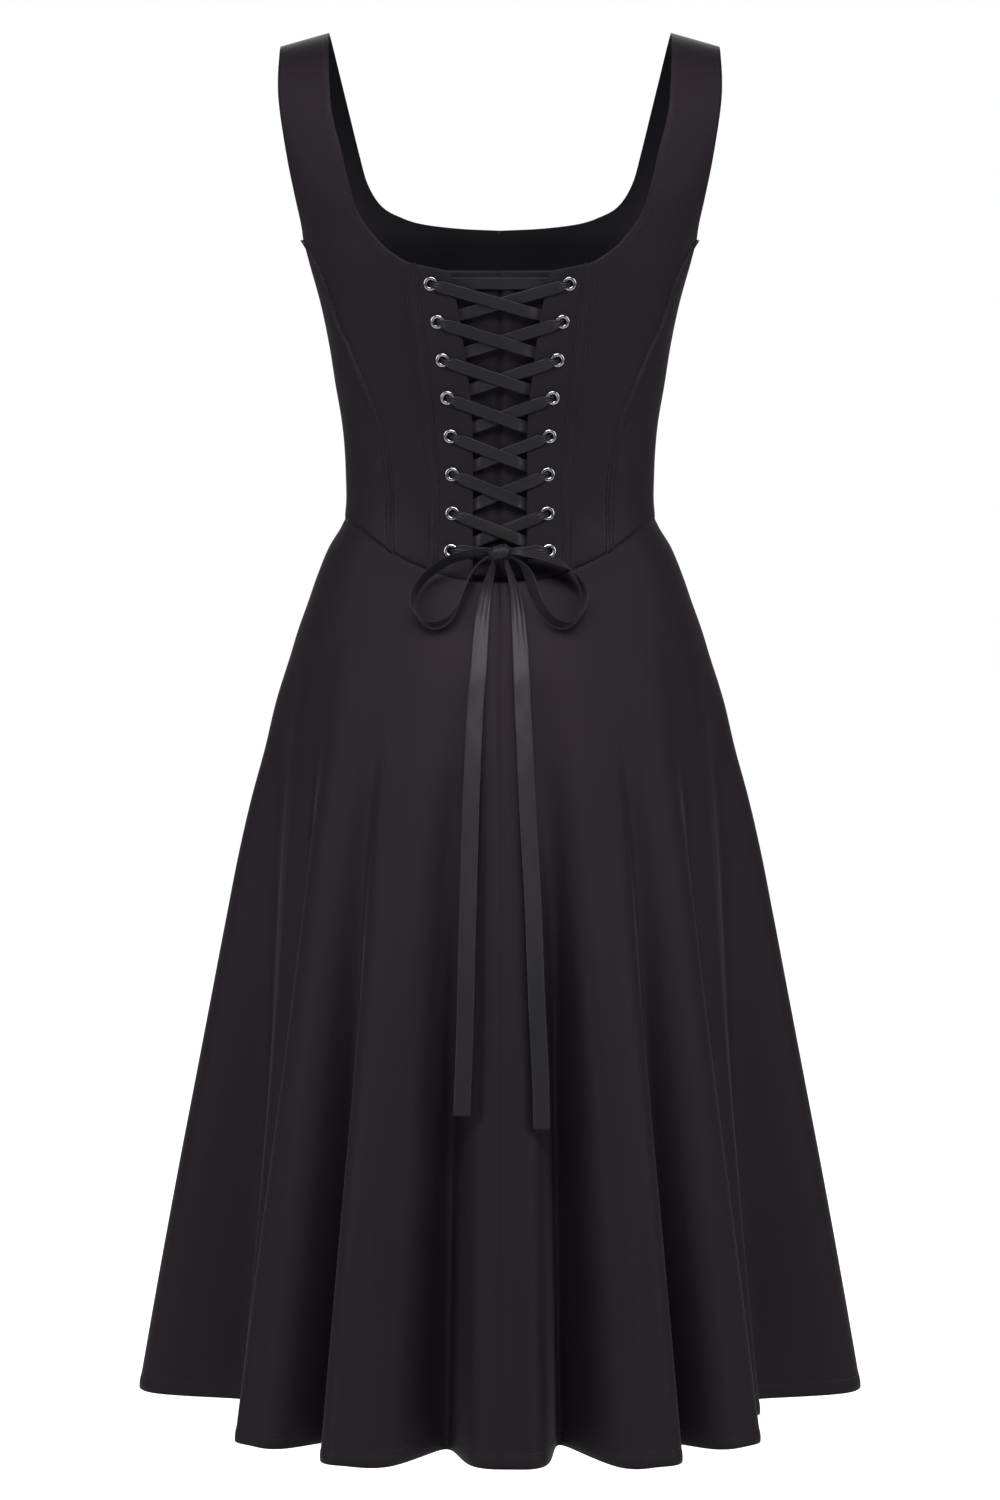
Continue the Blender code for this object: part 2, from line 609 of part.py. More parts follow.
def lace_leg(side, row):
    """The ribbon from one eyelet, over its flap, across and behind to the next one down."""
    drop, distance = (value * MM for value in EYELETS[row])
    next_drop, next_distance = (value * MM for value in EYELETS[row + 1])
    width = distance + next_distance
    stations = []

    def put(x, height, share):
        gone = np.clip((side * distance - x) * side / width, 0, 1)
        stations.append(lace_station(x, drop + (next_drop - drop) * gone, height, share))

    for way, height, share in LACE_COMING_OUT:
        put(side * (distance - way * MM), height, share)
    near = smooth(FLAP_EDGE, 1, drop / MM) * MM
    far = smooth(FLAP_EDGE, 1, next_drop / MM) * MM
    cross = LACE_OVER if side < 0 else LACE_UNDER
    put(side * (near + 1.5 * MM), LACE_OVER, 1)
    put(side * near * 0.62, cross, 1)
    put(0, cross, 1)
    put(-side * far * 0.62, cross, 1)
    put(-side * (far - 1 * MM), LACE_BEHIND, 1)
    for way, height, share in LACE_GOING_IN:
        put(-side * (next_distance - way * MM), height, share)
    return stations


def lace_end(side):
    """The ribbon from the last eyelet over the flap to the knot."""
    drop, distance = (value * MM for value in EYELETS[-1])
    stations = [lace_station(side * (distance - way * MM), drop, height, share)
                for way, height, share in LACE_COMING_OUT]
    for x, height, share in ((22, 1.8, 0.95), (14, 3.1, 0.8), (6.5, 4.9, 0.6)):
        stations.append(lace_station(side * x * MM, drop + 1 * MM, height, share))
    return stations


def lace_half(side):
    """One end of the lacing ribbon, from the bar behind the top eyelets to the knot."""
    drop, distance = (value * MM for value in EYELETS[0])
    stations = [lace_station(side * 20 * MM, drop, BAR_SINK, 1)]
    for way, height, share in LACE_GOING_IN:
        stations.append(lace_station(side * (distance - way * MM), drop, height, share))
    for row in range(len(EYELETS) - 1):
        stations += lace_leg(side, row)
        side = -side
    return stations + lace_end(side)


middle = lace_station(0, EYELETS[0][0] * MM, BAR_SINK, 1)
ribbon("lacing_ribbon", lace_half(-1)[::-1] + [middle] + lace_half(1))

# Bow
knot_x, knot_drop, knot_height = (value * MM for value in KNOT)
knot_mesh = bpy.data.meshes.new("bow_knot")
ball = bmesh.new()
bmesh.ops.create_uvsphere(ball, u_segments=14, v_segments=8, radius=0.5)
ball.to_mesh(knot_mesh)
ball.free()
knot_mesh.shade_smooth()
knot = add("bow_knot", knot_mesh, finish("bow_knot", RIBBON_BLACK, 0.35))
knot_size = Matrix.Diagonal([value * MM for value in KNOT_SIZE] + [1])
knot_mesh.transform(knot_size)
knot.matrix_world = placed(knot_x, knot_drop, knot_height)


def bow_ribbon(name, rows):
    """A ribbon of the bow, drawn on the back of the dress."""
    stations = []
    for x, drop, height, share, turn in rows:
        angle = angle_at(x * MM, drop * MM)
        out = outward(angle, drop * MM, False)
        centre = form(angle, drop * MM, False) + out * height * MM
        stations.append([centre, out, share * BOW_WIDTH, np.radians(turn)])
    centres = np.array([station[0] for station in stations])
    run = np.gradient(centres, axis=0)
    for station, along in zip(stations, run):
        flat = np.cross(along, station[1])
        flat /= np.linalg.norm(flat)
        station[1] = station[1] * np.cos(station[3]) + flat * np.sin(station[3])
    ribbon(name, [station[:3] for station in stations])


bow_ribbon("bow_loop_left", LOOP_LEFT)
bow_ribbon("bow_loop_right", LOOP_RIGHT)
bow_ribbon("bow_tail_left", TAIL_LEFT)
bow_ribbon("bow_tail_right", TAIL_RIGHT)
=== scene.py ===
"""Looks of a sleeveless black sateen dress with a boned bodice that laces up the back."""

import math

import bmesh
import bpy
import numpy as np
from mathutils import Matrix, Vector


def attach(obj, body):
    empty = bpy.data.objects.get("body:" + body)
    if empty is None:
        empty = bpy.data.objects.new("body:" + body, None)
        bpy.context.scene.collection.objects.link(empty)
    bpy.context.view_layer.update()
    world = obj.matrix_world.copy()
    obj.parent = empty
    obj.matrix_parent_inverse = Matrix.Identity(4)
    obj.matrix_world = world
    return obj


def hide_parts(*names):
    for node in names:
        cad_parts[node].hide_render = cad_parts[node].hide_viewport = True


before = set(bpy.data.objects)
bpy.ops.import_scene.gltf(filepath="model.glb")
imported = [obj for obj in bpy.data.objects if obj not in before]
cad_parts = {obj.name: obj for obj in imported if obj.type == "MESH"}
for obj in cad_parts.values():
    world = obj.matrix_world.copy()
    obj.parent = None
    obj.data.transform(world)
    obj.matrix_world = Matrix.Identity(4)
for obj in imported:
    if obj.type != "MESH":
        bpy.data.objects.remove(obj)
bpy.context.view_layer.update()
MM = 0.001

# The studio: a wide pale floor well below the dress, which hangs as if worn, under white air.
# A tall softbox stands on either side of the laced back, one hangs high before it and one lights
# the front. The camera is 3.5 m behind the dress at bust height, and looks slightly down at it.
FLOOR_Z = -1.42
FLOOR_RADIUS = 14.0
CAMERA_PLACE = (0, -3.5, -0.2905)
CAMERA_AIM = (0, 0, -0.5725)
CAMERA_LENS = 104.5
SOFTBOXES = (
    # name, place, aim, width, height, watts
    ("left softbox", (-2.6, -1.2, 0.6), (0, 0, -0.6), 1.6, 2.2, 26),
    ("right softbox", (2.6, -1.2, 0.6), (0, 0, -0.6), 1.6, 2.2, 26),
    ("top softbox", (0, -2.3, 2.0), (0, 0, -0.4), 2.6, 1.2, 62),
    ("front softbox", (0, 2.6, 1.8), (0, 0, -0.5), 2.2, 1.6, 40),
)

bpy.context.scene.view_settings.view_transform = "Standard"
world = bpy.data.worlds.new("white air")
bpy.context.scene.world = world
world.use_nodes = True
air = world.node_tree
air.nodes.clear()
seen = air.nodes.new("ShaderNodeLightPath")
shown = air.nodes.new("ShaderNodeBackground")
shown.inputs["Color"].default_value = (1, 1, 1, 1)
shown.inputs["Strength"].default_value = 1.0
fill_light = air.nodes.new("ShaderNodeBackground")
fill_light.inputs["Color"].default_value = (0.95, 0.97, 1, 1)
fill_light.inputs["Strength"].default_value = 0.04
either = air.nodes.new("ShaderNodeMixShader")
air_out = air.nodes.new("ShaderNodeOutputWorld")
air.links.new(seen.outputs["Is Camera Ray"], either.inputs[0])
air.links.new(fill_light.outputs[0], either.inputs[1])
air.links.new(shown.outputs[0], either.inputs[2])
air.links.new(either.outputs[0], air_out.inputs["Surface"])

floor_mesh = bpy.data.meshes.new("floor")
ring = [(FLOOR_RADIUS * math.cos(a), FLOOR_RADIUS * math.sin(a), FLOOR_Z)
        for a in np.linspace(0, 2 * math.pi, 64, endpoint=False)]
floor_mesh.from_pydata(ring, [], [tuple(range(64))])
floor = bpy.data.objects.new("floor", floor_mesh)
bpy.context.scene.collection.objects.link(floor)
floor_paint = bpy.data.materials.new("pale floor")
floor_paint.use_nodes = True
paint = floor_paint.node_tree.nodes["Principled BSDF"]
paint.inputs["Base Color"].default_value = (0.75, 0.75, 0.75, 1)
paint.inputs["Roughness"].default_value = 0.9
paint.inputs["Emission Color"].default_value = (1, 1, 1, 1)
floor_seen = floor_paint.node_tree.nodes.new("ShaderNodeLightPath")
floor_paint.node_tree.links.new(floor_seen.outputs["Is Camera Ray"],
                                paint.inputs["Emission Strength"])
floor_mesh.materials.append(floor_paint)


def aimed(name, data, place, aim):
    """Put a light or the camera at a place, looking at another."""
    thing = bpy.data.objects.new(name, data)
    thing.location = place
    thing.rotation_euler = (Vector(aim) - Vector(place)).to_track_quat("-Z", "Y").to_euler()
    bpy.context.scene.collection.objects.link(thing)
    return thing


for name, place, aim, width, height, watts in SOFTBOXES:
    lamp = bpy.data.lights.new(name, "AREA")
    lamp.shape = "RECTANGLE"
    lamp.size, lamp.size_y = width, height
    lamp.energy = watts
    aimed(name, lamp, place, aim)

lens = bpy.data.cameras.new("camera")
lens.lens = CAMERA_LENS
lens.sensor_width = 36
lens.clip_end = 60
bpy.context.scene.camera = aimed("camera", lens, CAMERA_PLACE, CAMERA_AIM)

# Back panels, each cut in one with its strap: black cotton sateen over a thin lining, bagged
# out along the neckline and the armhole. The dress's filled-out form, its edges and its seams
# are set here, drawn in millimetres below the shoulder line ("drop") and from the middle.
FORM = (
    # drop, half width, back depth, front depth, squareness, fold depth
    (0, 215, 98, 112, 2.5, 0), (50, 198, 98, 112, 2.5, 0), (100, 181, 98, 112, 2.5, 0),
    (130, 171, 98, 112, 2.5, 0), (160, 158.5, 98, 113, 2.5, 0), (185, 151.5, 98, 118, 2.5, 0),
    (212, 144, 96.5, 120, 2.45, 0), (245, 137, 93.5, 115, 2.4, 0),
    (280, 131.5, 89.5, 106, 2.35, 0), (310, 126.5, 86, 99, 2.3, 0), (350, 123.7, 84, 95, 2.25, 0),
    (378, 123.9, 84.8, 95.5, 2.2, 0), (387, 125.2, 85.4, 96.5, 2.2, 0),
    (409, 137.5, 88, 102, 2.15, 0), (432, 147, 93, 108, 2.1, 0), (452, 154, 102, 116, 2.05, 0),
    (477, 163, 114, 125, 2, 0.03), (495, 168.5, 123, 131, 2, 0.05), (531, 180, 137, 143, 2, 0.12),
    (572, 190, 152, 156, 2, 0.23), (608, 200, 164, 167, 2, 0.35), (655, 211, 179, 181, 2, 0.47),
    (703, 220.5, 194, 194, 2, 0.57), (776, 234.5, 214, 213, 2, 0.7), (836, 246, 229, 228, 2, 0.79),
    (906, 259.5, 247, 246, 2, 0.87), (998, 276.5, 269, 268, 2, 0.95), (1091.5, 293, 293, 293, 2, 1),
)
HALF_WIDTH, BACK, FRONT, SQUARE, FOLD = range(1, 6)
ARM_DROP = 160 * MM
SHOULDER_SLOPE = 0.28
STRAP_INNER_X = 136 * MM
WAIST_DROP = 386 * MM
WAIST_DIP_BACK = 47 * MM
WAIST_DIP_FRONT = 30 * MM
HEM_DROP = 1091.5 * MM
HEM_RADIUS = 293 * MM
CREST_SHOULDER = 0.972
FOLD_SPREAD = 5
# The skirt's folds at the hem, in degrees from the centre back with the right side at 90:
# where the crest starts and ends, its reach and the radius of the dip after it.
FOLDS = (
    (-96, -84, 294, 214),
    (-66, -58, 232, 212),
    (-47.5, -37, 285, 234),
    (-28, -17, 299, 226),
    (-4, 7, 286, 214),
    (18, 28, 303, 240),
    (36.5, 46.5, 285, 212),
    (58, 66, 232, 214),
    (84, 96, 294, 226),
    (110, 120, 270, 222),
    (131, 142, 291, 219),
    (152, 161, 281, 231),
    (172, 184, 294, 222),
    (195, 206, 283, 230),
    (217, 228, 292, 218),
    (239, 249, 269, 223),
)
BACK_NECK = ((0, 136), (41, 134.2), (67, 131.8), (96, 124.7), (122, 118.7), (143, 112.5),
             (157.5, 103.3), (171, 91.2), (180.5, 78.2), (184.5, 71))
BACK_ARMHOLE = ((0, 174.5), (30, 175.5), (55, 174.2), (98, 168.3), (130, 162.5), (150, 158.7),
                (163, 157.2))
BACK_SEAM = ((163, 157.2), (175, 149.5), (196, 139.7), (226, 129.5), (254, 118.2), (279, 107),
             (305, 97.1), (331, 90.8), (354, 87.6), (386, 86.9), (440, 86.9))
INNER_SEAM = ((184.5, 71), (215, 67.5), (246, 63.5), (284, 58.6), (319, 55.6), (361, 52.6),
              (400, 53), (440, 54))
# Soft creases that wearing leaves in the bodice: angle and drop where each starts and ends,
# half width and height (a dent where it is below nought).
BODICE_CREASES = (
    (52, 226, 78, 246, 7, 0.9), (48, 240, 72, 266, 6, -0.8), (57, 258, 82, 262, 6, 0.7),
    (-50, 222, -80, 240, 7, 0.9), (-46, 238, -70, 262, 6, -0.8), (-55, 262, -84, 270, 7, 0.7),
    (34, 286, 46, 330, 6, -0.7), (-33, 282, -47, 322, 6, -0.7), (40, 344, 60, 356, 7, 0.6),
    (-38, 340, -62, 350, 7, 0.6), (62, 300, 84, 310, 7, -0.7), (-64, 296, -86, 302, 7, -0.7),
    (47, 366, 70, 372, 6, 0.7), (-48, 362, -72, 370, 6, 0.7), (30, 372, 40, 404, 7, -0.5),
    (150, 190, 172, 236, 9, 1.4), (160, 180, 186, 222, 8, -1.2), (188, 178, 204, 226, 9, 1.2),
    (198, 184, 212, 216, 8, -1.0), (140, 214, 152, 262, 8, 0.9), (216, 210, 206, 260, 8, 0.9),
    (150, 292, 176, 300, 8, -0.8), (184, 306, 208, 296, 8, 0.8), (148, 344, 172, 352, 8, 0.7),
    (190, 350, 214, 342, 8, -0.7), (112, 262, 132, 270, 7, 0.8), (248, 262, 228, 268, 7, 0.8),
    (104, 330, 126, 338, 7, -0.7), (256, 326, 234, 338, 7, -0.7),
)
SEAM_SINK = 0.7 * MM
SEAM_SOFT = 2.2 * MM
EDGE_ROLL = 0.5 * MM
EDGE_SOFT = 1.6 * MM
CLOTH = 0.8 * MM
SATEEN = (0.0150, 0.0112, 0.0155, 1)
LINING = (0.008, 0.008, 0.011, 1)
STRAP_ROWS, PANEL_ROWS, PANEL_COLUMNS = 70, 96, 36


def smooth(rows, column, at):
    """Value of a table's column at a first-column value, on a smooth curve through its rows."""
    table = np.array(rows, float)
    key, value = table[:, 0], table[:, column]
    slope = np.gradient(value, key)
    at = np.clip(at, key[0], key[-1])
    k = np.clip(np.searchsorted(key, at) - 1, 0, len(key) - 2)
    span = key[k + 1] - key[k]
    u = (at - key[k]) / span
    return ((1 + 2 * u) * (1 - u) ** 2 * value[k] + u * (1 - u) ** 2 * span * slope[k]
            + u * u * (3 - 2 * u) * value[k + 1] + u * u * (u - 1) * span * slope[k + 1])


def fold_stops():
    """Angles and radii of the hem ring: each crest's start, middle and end, then its dip."""
    stops = []
    for i, (start, end, reach, dip) in enumerate(FOLDS):
        following = FOLDS[(i + 1) % len(FOLDS)][0] + (360 if i + 1 == len(FOLDS) else 0)
        stops += [(start, reach * CREST_SHOULDER), ((start + end) / 2, reach),
                  (end, reach * CREST_SHOULDER), ((end + following) / 2, dip)]
    return stops


STOPS = fold_stops()


def hem_ratio(angle):
    """Radius of the folded hem at an angle, as a share of the plain hem's radius."""
    first = STOPS[0][0]
    wrapped = first + np.mod(np.asarray(angle, float) - first, 360)
    hem_ring = [(degrees + turn, radius) for turn in (-360, 0, 360) for degrees, radius in STOPS]
    return smooth(hem_ring, 1, wrapped) * MM / HEM_RADIUS


def fold_ratio(angle, fold):
    """The hem's ratio at an angle, spread out round the ring where the folds are shallow."""
    sharp = hem_ratio(angle)
    spread = (hem_ratio(angle - FOLD_SPREAD) + 2 * sharp + hem_ratio(angle + FOLD_SPREAD)) / 4
    return spread + (sharp - spread) * fold


def form_row(drop):
    """Half width, back depth, front depth, squareness and fold depth of the form at a drop."""
    at = np.asarray(drop, float) / MM
    sizes = [smooth(FORM, column, at) * MM for column in (HALF_WIDTH, BACK, FRONT)]
    return sizes + [smooth(FORM, SQUARE, at), smooth(FORM, FOLD, at)]


def angle_at(x, drop):
    """Ring angle in degrees, up to 90, of the point of the form at a distance from the middle."""
    half_width, back, front, square, fold = form_row(drop)
    share = np.clip(np.abs(x) / half_width, 0, 1)
    return np.degrees(np.arcsin(share ** (square / 2))) * np.sign(x)


def form(angle, drop, folds=True):
    """Point of the dress's outer face. Angle 0 is the centre back, 90 the right side."""
    angle, drop = np.broadcast_arrays(np.asarray(angle, float), np.asarray(drop, float))
    half_width, back, front, square, fold = form_row(drop)
    sine, cosine = np.sin(np.radians(angle)), np.cos(np.radians(angle))
    power = 2 / square
    rise = np.clip((ARM_DROP - drop) / ARM_DROP, 0, 1)
    depth = np.where(cosine > 0, back, front) * np.sqrt(1 - rise ** 2)
    pull = 1 - fold * (1 - (fold_ratio(angle, fold) if folds else hem_ratio(0)))
    x = half_width * np.sign(sine) * np.abs(sine) ** power * pull
    y = -depth * np.sign(cosine) * np.abs(cosine) ** power * pull
    slope = SHOULDER_SLOPE * np.clip(np.abs(x) - STRAP_INNER_X, 0, None) * rise
    return np.stack([x, y, -drop - slope], axis=-1)


def outward(angle, drop, folds=True):
    """Unit vector out of the dress at a point of the form."""
    turn, step = 0.2, 0.5 * MM
    across = form(angle + turn, drop, folds) - form(angle - turn, drop, folds)
    down = form(angle, drop + step, folds) - form(angle, drop - step, folds)
    normal = np.cross(down, across)
    return normal / np.linalg.norm(normal, axis=-1, keepdims=True)


def creased(creases, angle, drop):
    """Height in metres that a table of creases adds at points of the form."""
    angle, drop = np.broadcast_arrays(np.asarray(angle, float), np.asarray(drop, float))
    height = np.zeros(angle.shape)
    for start, top, end, bottom, width, tall in creases:
        half_width = form_row((top + bottom) / 2 * MM)[0] / MM
        per_degree = half_width * math.pi / 180
        middle = (start + end) / 2
        along_x = (np.mod(angle - middle + 180, 360) - 180) * per_degree
        along_y = drop / MM - (top + bottom) / 2
        run = np.array([(end - start) * per_degree, bottom - top])
        length = np.linalg.norm(run)
        run = run / length
        t = (along_x * run[0] + along_y * run[1]) / length + 0.5
        off = along_x * run[1] - along_y * run[0]
        bend = off - 0.04 * length * np.sin(math.pi * np.clip(t, 0, 1)) * (1 if tall > 0 else -1)
        taper = np.sin(math.pi * np.clip(t, 0, 1)) ** 1.3
        height += tall * MM * taper * np.exp(-(bend / width) ** 2)
    return height


def surface(angle, drop, height=0.0):
    """Point of the worn dress's outer face, creases and all, raised by a height."""
    lift = creased(BODICE_CREASES, angle, drop) + np.asarray(height, float)
    lift = lift * np.clip(np.asarray(drop, float) / (12 * MM), 0, 1)
    return form(angle, drop) + outward(angle, drop) * lift[..., None]


def waist(angle):
    """Drop of the waist seam, which dips to a soft point at the centre back and front."""
    cosine = np.cos(np.radians(angle))
    dip = np.where(cosine > 0, WAIST_DIP_BACK, WAIST_DIP_FRONT)
    return WAIST_DROP + dip * np.abs(cosine) ** 3


def edge(rows, count, front=False, to_waist=False):
    """Points spaced evenly along an edge given as drops and distances: angles and drops."""
    first, last = rows[0][0], rows[-1][0]
    if to_waist:
        for _ in range(12):
            turned = angle_at(smooth(rows, 1, last) * MM, last * MM)
            last = float(waist(180 - turned if front else turned)) / MM
    table = np.array(rows, float)
    along = np.linspace(0, 1, len(table))
    fine = np.linspace(0, 1, 1500)
    slopes = np.gradient(table, along, axis=0)
    k = np.clip((fine * (len(table) - 1)).astype(int), 0, len(table) - 2)
    span = along[k + 1] - along[k]
    u = (fine - along[k]) / span
    weights = ((1 + 2 * u) * (1 - u) ** 2, u * (1 - u) ** 2 * span,
               u * u * (3 - 2 * u), u * u * (u - 1) * span)
    curve = (weights[0][:, None] * table[k] + weights[1][:, None] * slopes[k]
             + weights[2][:, None] * table[k + 1] + weights[3][:, None] * slopes[k + 1])
    curve = curve[(curve[:, 0] >= first) & (curve[:, 0] <= last)] * MM
    drops, distances = curve[:, 0], curve[:, 1]
    angles = angle_at(distances, drops)
    if front:
        angles = 180 - angles
    points = form(angles, drops)
    length = np.concatenate([[0], np.cumsum(np.linalg.norm(np.diff(points, axis=0), axis=1))])
    wanted = np.linspace(0, length[-1], count)
    return np.stack([np.interp(wanted, length, angles), np.interp(wanted, length, drops)], axis=1)


def shares(count, crowd=0.8):
    """Places from 0 to 1, closer together near both ends."""
    t = np.linspace(0, 1, count)
    return t - crowd * np.sin(2 * math.pi * t) / (2 * math.pi)


def fill(left, right, columns, fit_waist=True):
    """Angles and drops between two edges, with the last row on the waist seam."""
    share = shares(columns)
    grid = left[:, None, :] * (1 - share)[None, :, None] + right[:, None, :] * share[None, :, None]
    if fit_waist:
        miss = waist(grid[-1, :, 0]) - grid[-1, :, 1]
        grid[:, :, 1] += miss[None, :] * np.linspace(0, 1, len(grid))[:, None] ** 2
    return grid


def edge_distances(points):
    """Distance along the cloth from the left, right, top and bottom edges of a grid."""
    steps = np.linalg.norm(np.diff(points, axis=1), axis=2)
    left = np.concatenate([np.zeros((len(points), 1)), np.cumsum(steps, axis=1)], axis=1)
    steps = np.linalg.norm(np.diff(points, axis=0), axis=2)
    top = np.concatenate([np.zeros((1, points.shape[1])), np.cumsum(steps, axis=0)], axis=0)
    return left, left[:, -1:] - left, top, top[-1:] - top


def seam_heights(points, kinds):
    """Height along the edges: "seam" draws in, "edge" rolls over, "" stays. Order as above."""
    height = np.zeros(points.shape[:2])
    for kind, away in zip(kinds, edge_distances(points)):
        if kind == "seam":
            height -= SEAM_SINK * np.exp(-(away / SEAM_SOFT) ** 2)
        elif kind == "edge":
            height -= EDGE_ROLL * np.exp(-(away / EDGE_SOFT) ** 2)
    return height


def grain(points):
    """Cloth coordinates in metres for a grid: across and down the piece."""
    left, _, top, _ = edge_distances(points)
    return np.stack([left, -top], axis=-1)


weave_group = bpy.data.node_groups.new("sateen weave", "ShaderNodeTree")
for socket, kind in (("Cloth", "NodeSocketVector"), ("Thread", "NodeSocketFloat"),
                     ("Colour", "NodeSocketColor"), ("Gloss", "NodeSocketFloat"),
                     ("Slub", "NodeSocketFloat")):
    weave_group.interface.new_socket(socket, in_out="INPUT", socket_type=kind)
for socket, kind in (("Colour", "NodeSocketColor"), ("Roughness", "NodeSocketFloat"),
                     ("Height", "NodeSocketFloat")):
    weave_group.interface.new_socket(socket, in_out="OUTPUT", socket_type=kind)


def noise(tree, vector, scale, detail=2.0):
    """A noise texture on a vector."""
    node = tree.nodes.new("ShaderNodeTexNoise")
    node.inputs["Scale"].default_value = scale
    node.inputs["Detail"].default_value = detail
    tree.links.new(vector, node.inputs["Vector"])
    return node.outputs["Fac"]


def maths(tree, operation, first, second, third=None):
    """A math node; each input is a socket or a number."""
    node = tree.nodes.new("ShaderNodeMath")
    node.operation = operation
    for slot, value in zip(node.inputs, (first, second, third)):
        if value is None:
            continue
        if isinstance(value, (int, float)):
            slot.default_value = value
        else:
            tree.links.new(value, slot)
    return node.outputs[0]


def stretched(tree, vector, size):
    """A vector scaled by a size on each axis."""
    node = tree.nodes.new("ShaderNodeVectorMath")
    node.operation = "MULTIPLY"
    node.inputs[1].default_value = size
    tree.links.new(vector, node.inputs[0])
    return node.outputs[0]


def weave_nodes():
    """Long floats of the warp thread, slubs in the yarn and slow changes in depth of dye."""
    tree = weave_group
    given = tree.nodes.new("NodeGroupInput")
    result = tree.nodes.new("NodeGroupOutput")
    per_metre = tree.nodes.new("ShaderNodeVectorMath")
    per_metre.operation = "SCALE"
    tree.links.new(given.outputs["Cloth"], per_metre.inputs[0])
    tree.links.new(maths(tree, "DIVIDE", 1.0, given.outputs["Thread"]), per_metre.inputs["Scale"])
    floats = noise(tree, stretched(tree, per_metre.outputs[0], (1.0, 0.18, 1.0)), 1.0, 1.0)
    slub = noise(tree, stretched(tree, given.outputs["Cloth"], (420, 26, 1)), 1.0, 2.0)
    slow = noise(tree, stretched(tree, given.outputs["Cloth"], (9, 6, 1)), 1.0, 3.0)
    height = maths(tree, "MULTIPLY_ADD", slub, given.outputs["Slub"], floats)
    tree.links.new(height, result.inputs["Height"])
    shade = maths(tree, "MULTIPLY_ADD", slow, 0.35, 0.825)
    shade = maths(tree, "MULTIPLY_ADD", maths(tree, "SUBTRACT", slub, 0.5), 0.16, shade)
    tint = tree.nodes.new("ShaderNodeVectorMath")
    tint.operation = "SCALE"
    tree.links.new(given.outputs["Colour"], tint.inputs[0])
    tree.links.new(shade, tint.inputs["Scale"])
    tree.links.new(tint.outputs[0], result.inputs["Colour"])
    rough = maths(tree, "MULTIPLY_ADD", maths(tree, "SUBTRACT", slow, 0.5), 0.18,
                  given.outputs["Gloss"])
    tree.links.new(rough, result.inputs["Roughness"])


weave_nodes()


def woven(name, color, roughness, sheen, thread=0.00045, slub=0.6, bump=0.00005):
    """A woven cloth's material. Its pattern follows the piece's own cloth coordinates."""
    material = bpy.data.materials.new(name)
    material.use_nodes = True
    tree = material.node_tree
    shader = tree.nodes["Principled BSDF"]
    place = tree.nodes.new("ShaderNodeUVMap")
    place.uv_map = "cloth"
    weave = tree.nodes.new("ShaderNodeGroup")
    weave.node_tree = weave_group
    weave.inputs["Thread"].default_value = thread
    weave.inputs["Colour"].default_value = color
    weave.inputs["Gloss"].default_value = roughness
    weave.inputs["Slub"].default_value = slub
    tree.links.new(place.outputs["UV"], weave.inputs["Cloth"])
    tree.links.new(weave.outputs["Colour"], shader.inputs["Base Color"])
    tree.links.new(weave.outputs["Roughness"], shader.inputs["Roughness"])
    relief = tree.nodes.new("ShaderNodeBump")
    relief.inputs["Distance"].default_value = bump
    relief.inputs["Strength"].default_value = 0.6
    tree.links.new(weave.outputs["Height"], relief.inputs["Height"])
    tree.links.new(relief.outputs["Normal"], shader.inputs["Normal"])
    shader.inputs["Sheen Weight"].default_value = sheen
    shader.inputs["Sheen Roughness"].default_value = 0.35
    shader.inputs["Sheen Tint"].default_value = (0.86, 0.78, 0.88, 1)
    shader.inputs["Specular IOR Level"].default_value = 0.26
    shader.inputs["Specular Tint"].default_value = (1, 0.86, 1, 1)
    return material


sateen = woven("black sateen", SATEEN, 0.6, 0.1)
lining = woven("lining", LINING, 0.55, 0.05)


def piece(name, points, cloth_place, materials, thickness=CLOTH, holes=None):
    """A thin sewn piece under a grid of points, its outer face in the first material."""
    rows, columns = points.shape[:2]
    corner = (np.arange(rows - 1)[:, None] * columns + np.arange(columns - 1)[None, :]).ravel()
    quads = np.stack([corner, corner + columns, corner + columns + 1, corner + 1], axis=1)
    if holes is not None:
        quads = quads[~holes[:-1, :-1].ravel()]
    mesh = bpy.data.meshes.new(name)
    mesh.from_pydata(points.reshape(-1, 3).tolist(), [], quads.tolist())
    places = mesh.uv_layers.new(name="cloth")
    places.data.foreach_set("uv", cloth_place.reshape(-1, 2)[quads.ravel()].ravel())
    mesh.shade_smooth()
    for material in materials:
        mesh.materials.append(material)
    body = bpy.data.objects.new(name, mesh)
    bpy.context.scene.collection.objects.link(body)
    wall = body.modifiers.new("wall", "SOLIDIFY")
    wall.thickness = thickness
    wall.offset = -1
    wall.use_even_offset = True
    wall.material_offset = len(materials) - 1
    return body


def sewn(body, node):
    """Hang a piece from the root and hide the CAD part that it takes the place of."""
    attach(body, "root")
    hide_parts(node)


SIDES = (("left", -1), ("right", 1))


def sided(grid, side):
    """The grid on the right (1) or the left (-1) side."""
    if side > 0:
        return grid
    flipped = grid[:, ::-1].copy()
    flipped[..., 0] *= -1
    return flipped


def laid(grid, side, kinds):
    """Points of a piece of the bodice and its cloth coordinates."""
    turned = sided(grid, side)
    flat = form(turned[..., 0], turned[..., 1])
    kinds = kinds if side > 0 else (kinds[1], kinds[0], kinds[2], kinds[3])
    return surface(turned[..., 0], turned[..., 1], seam_heights(flat, kinds)), grain(flat)


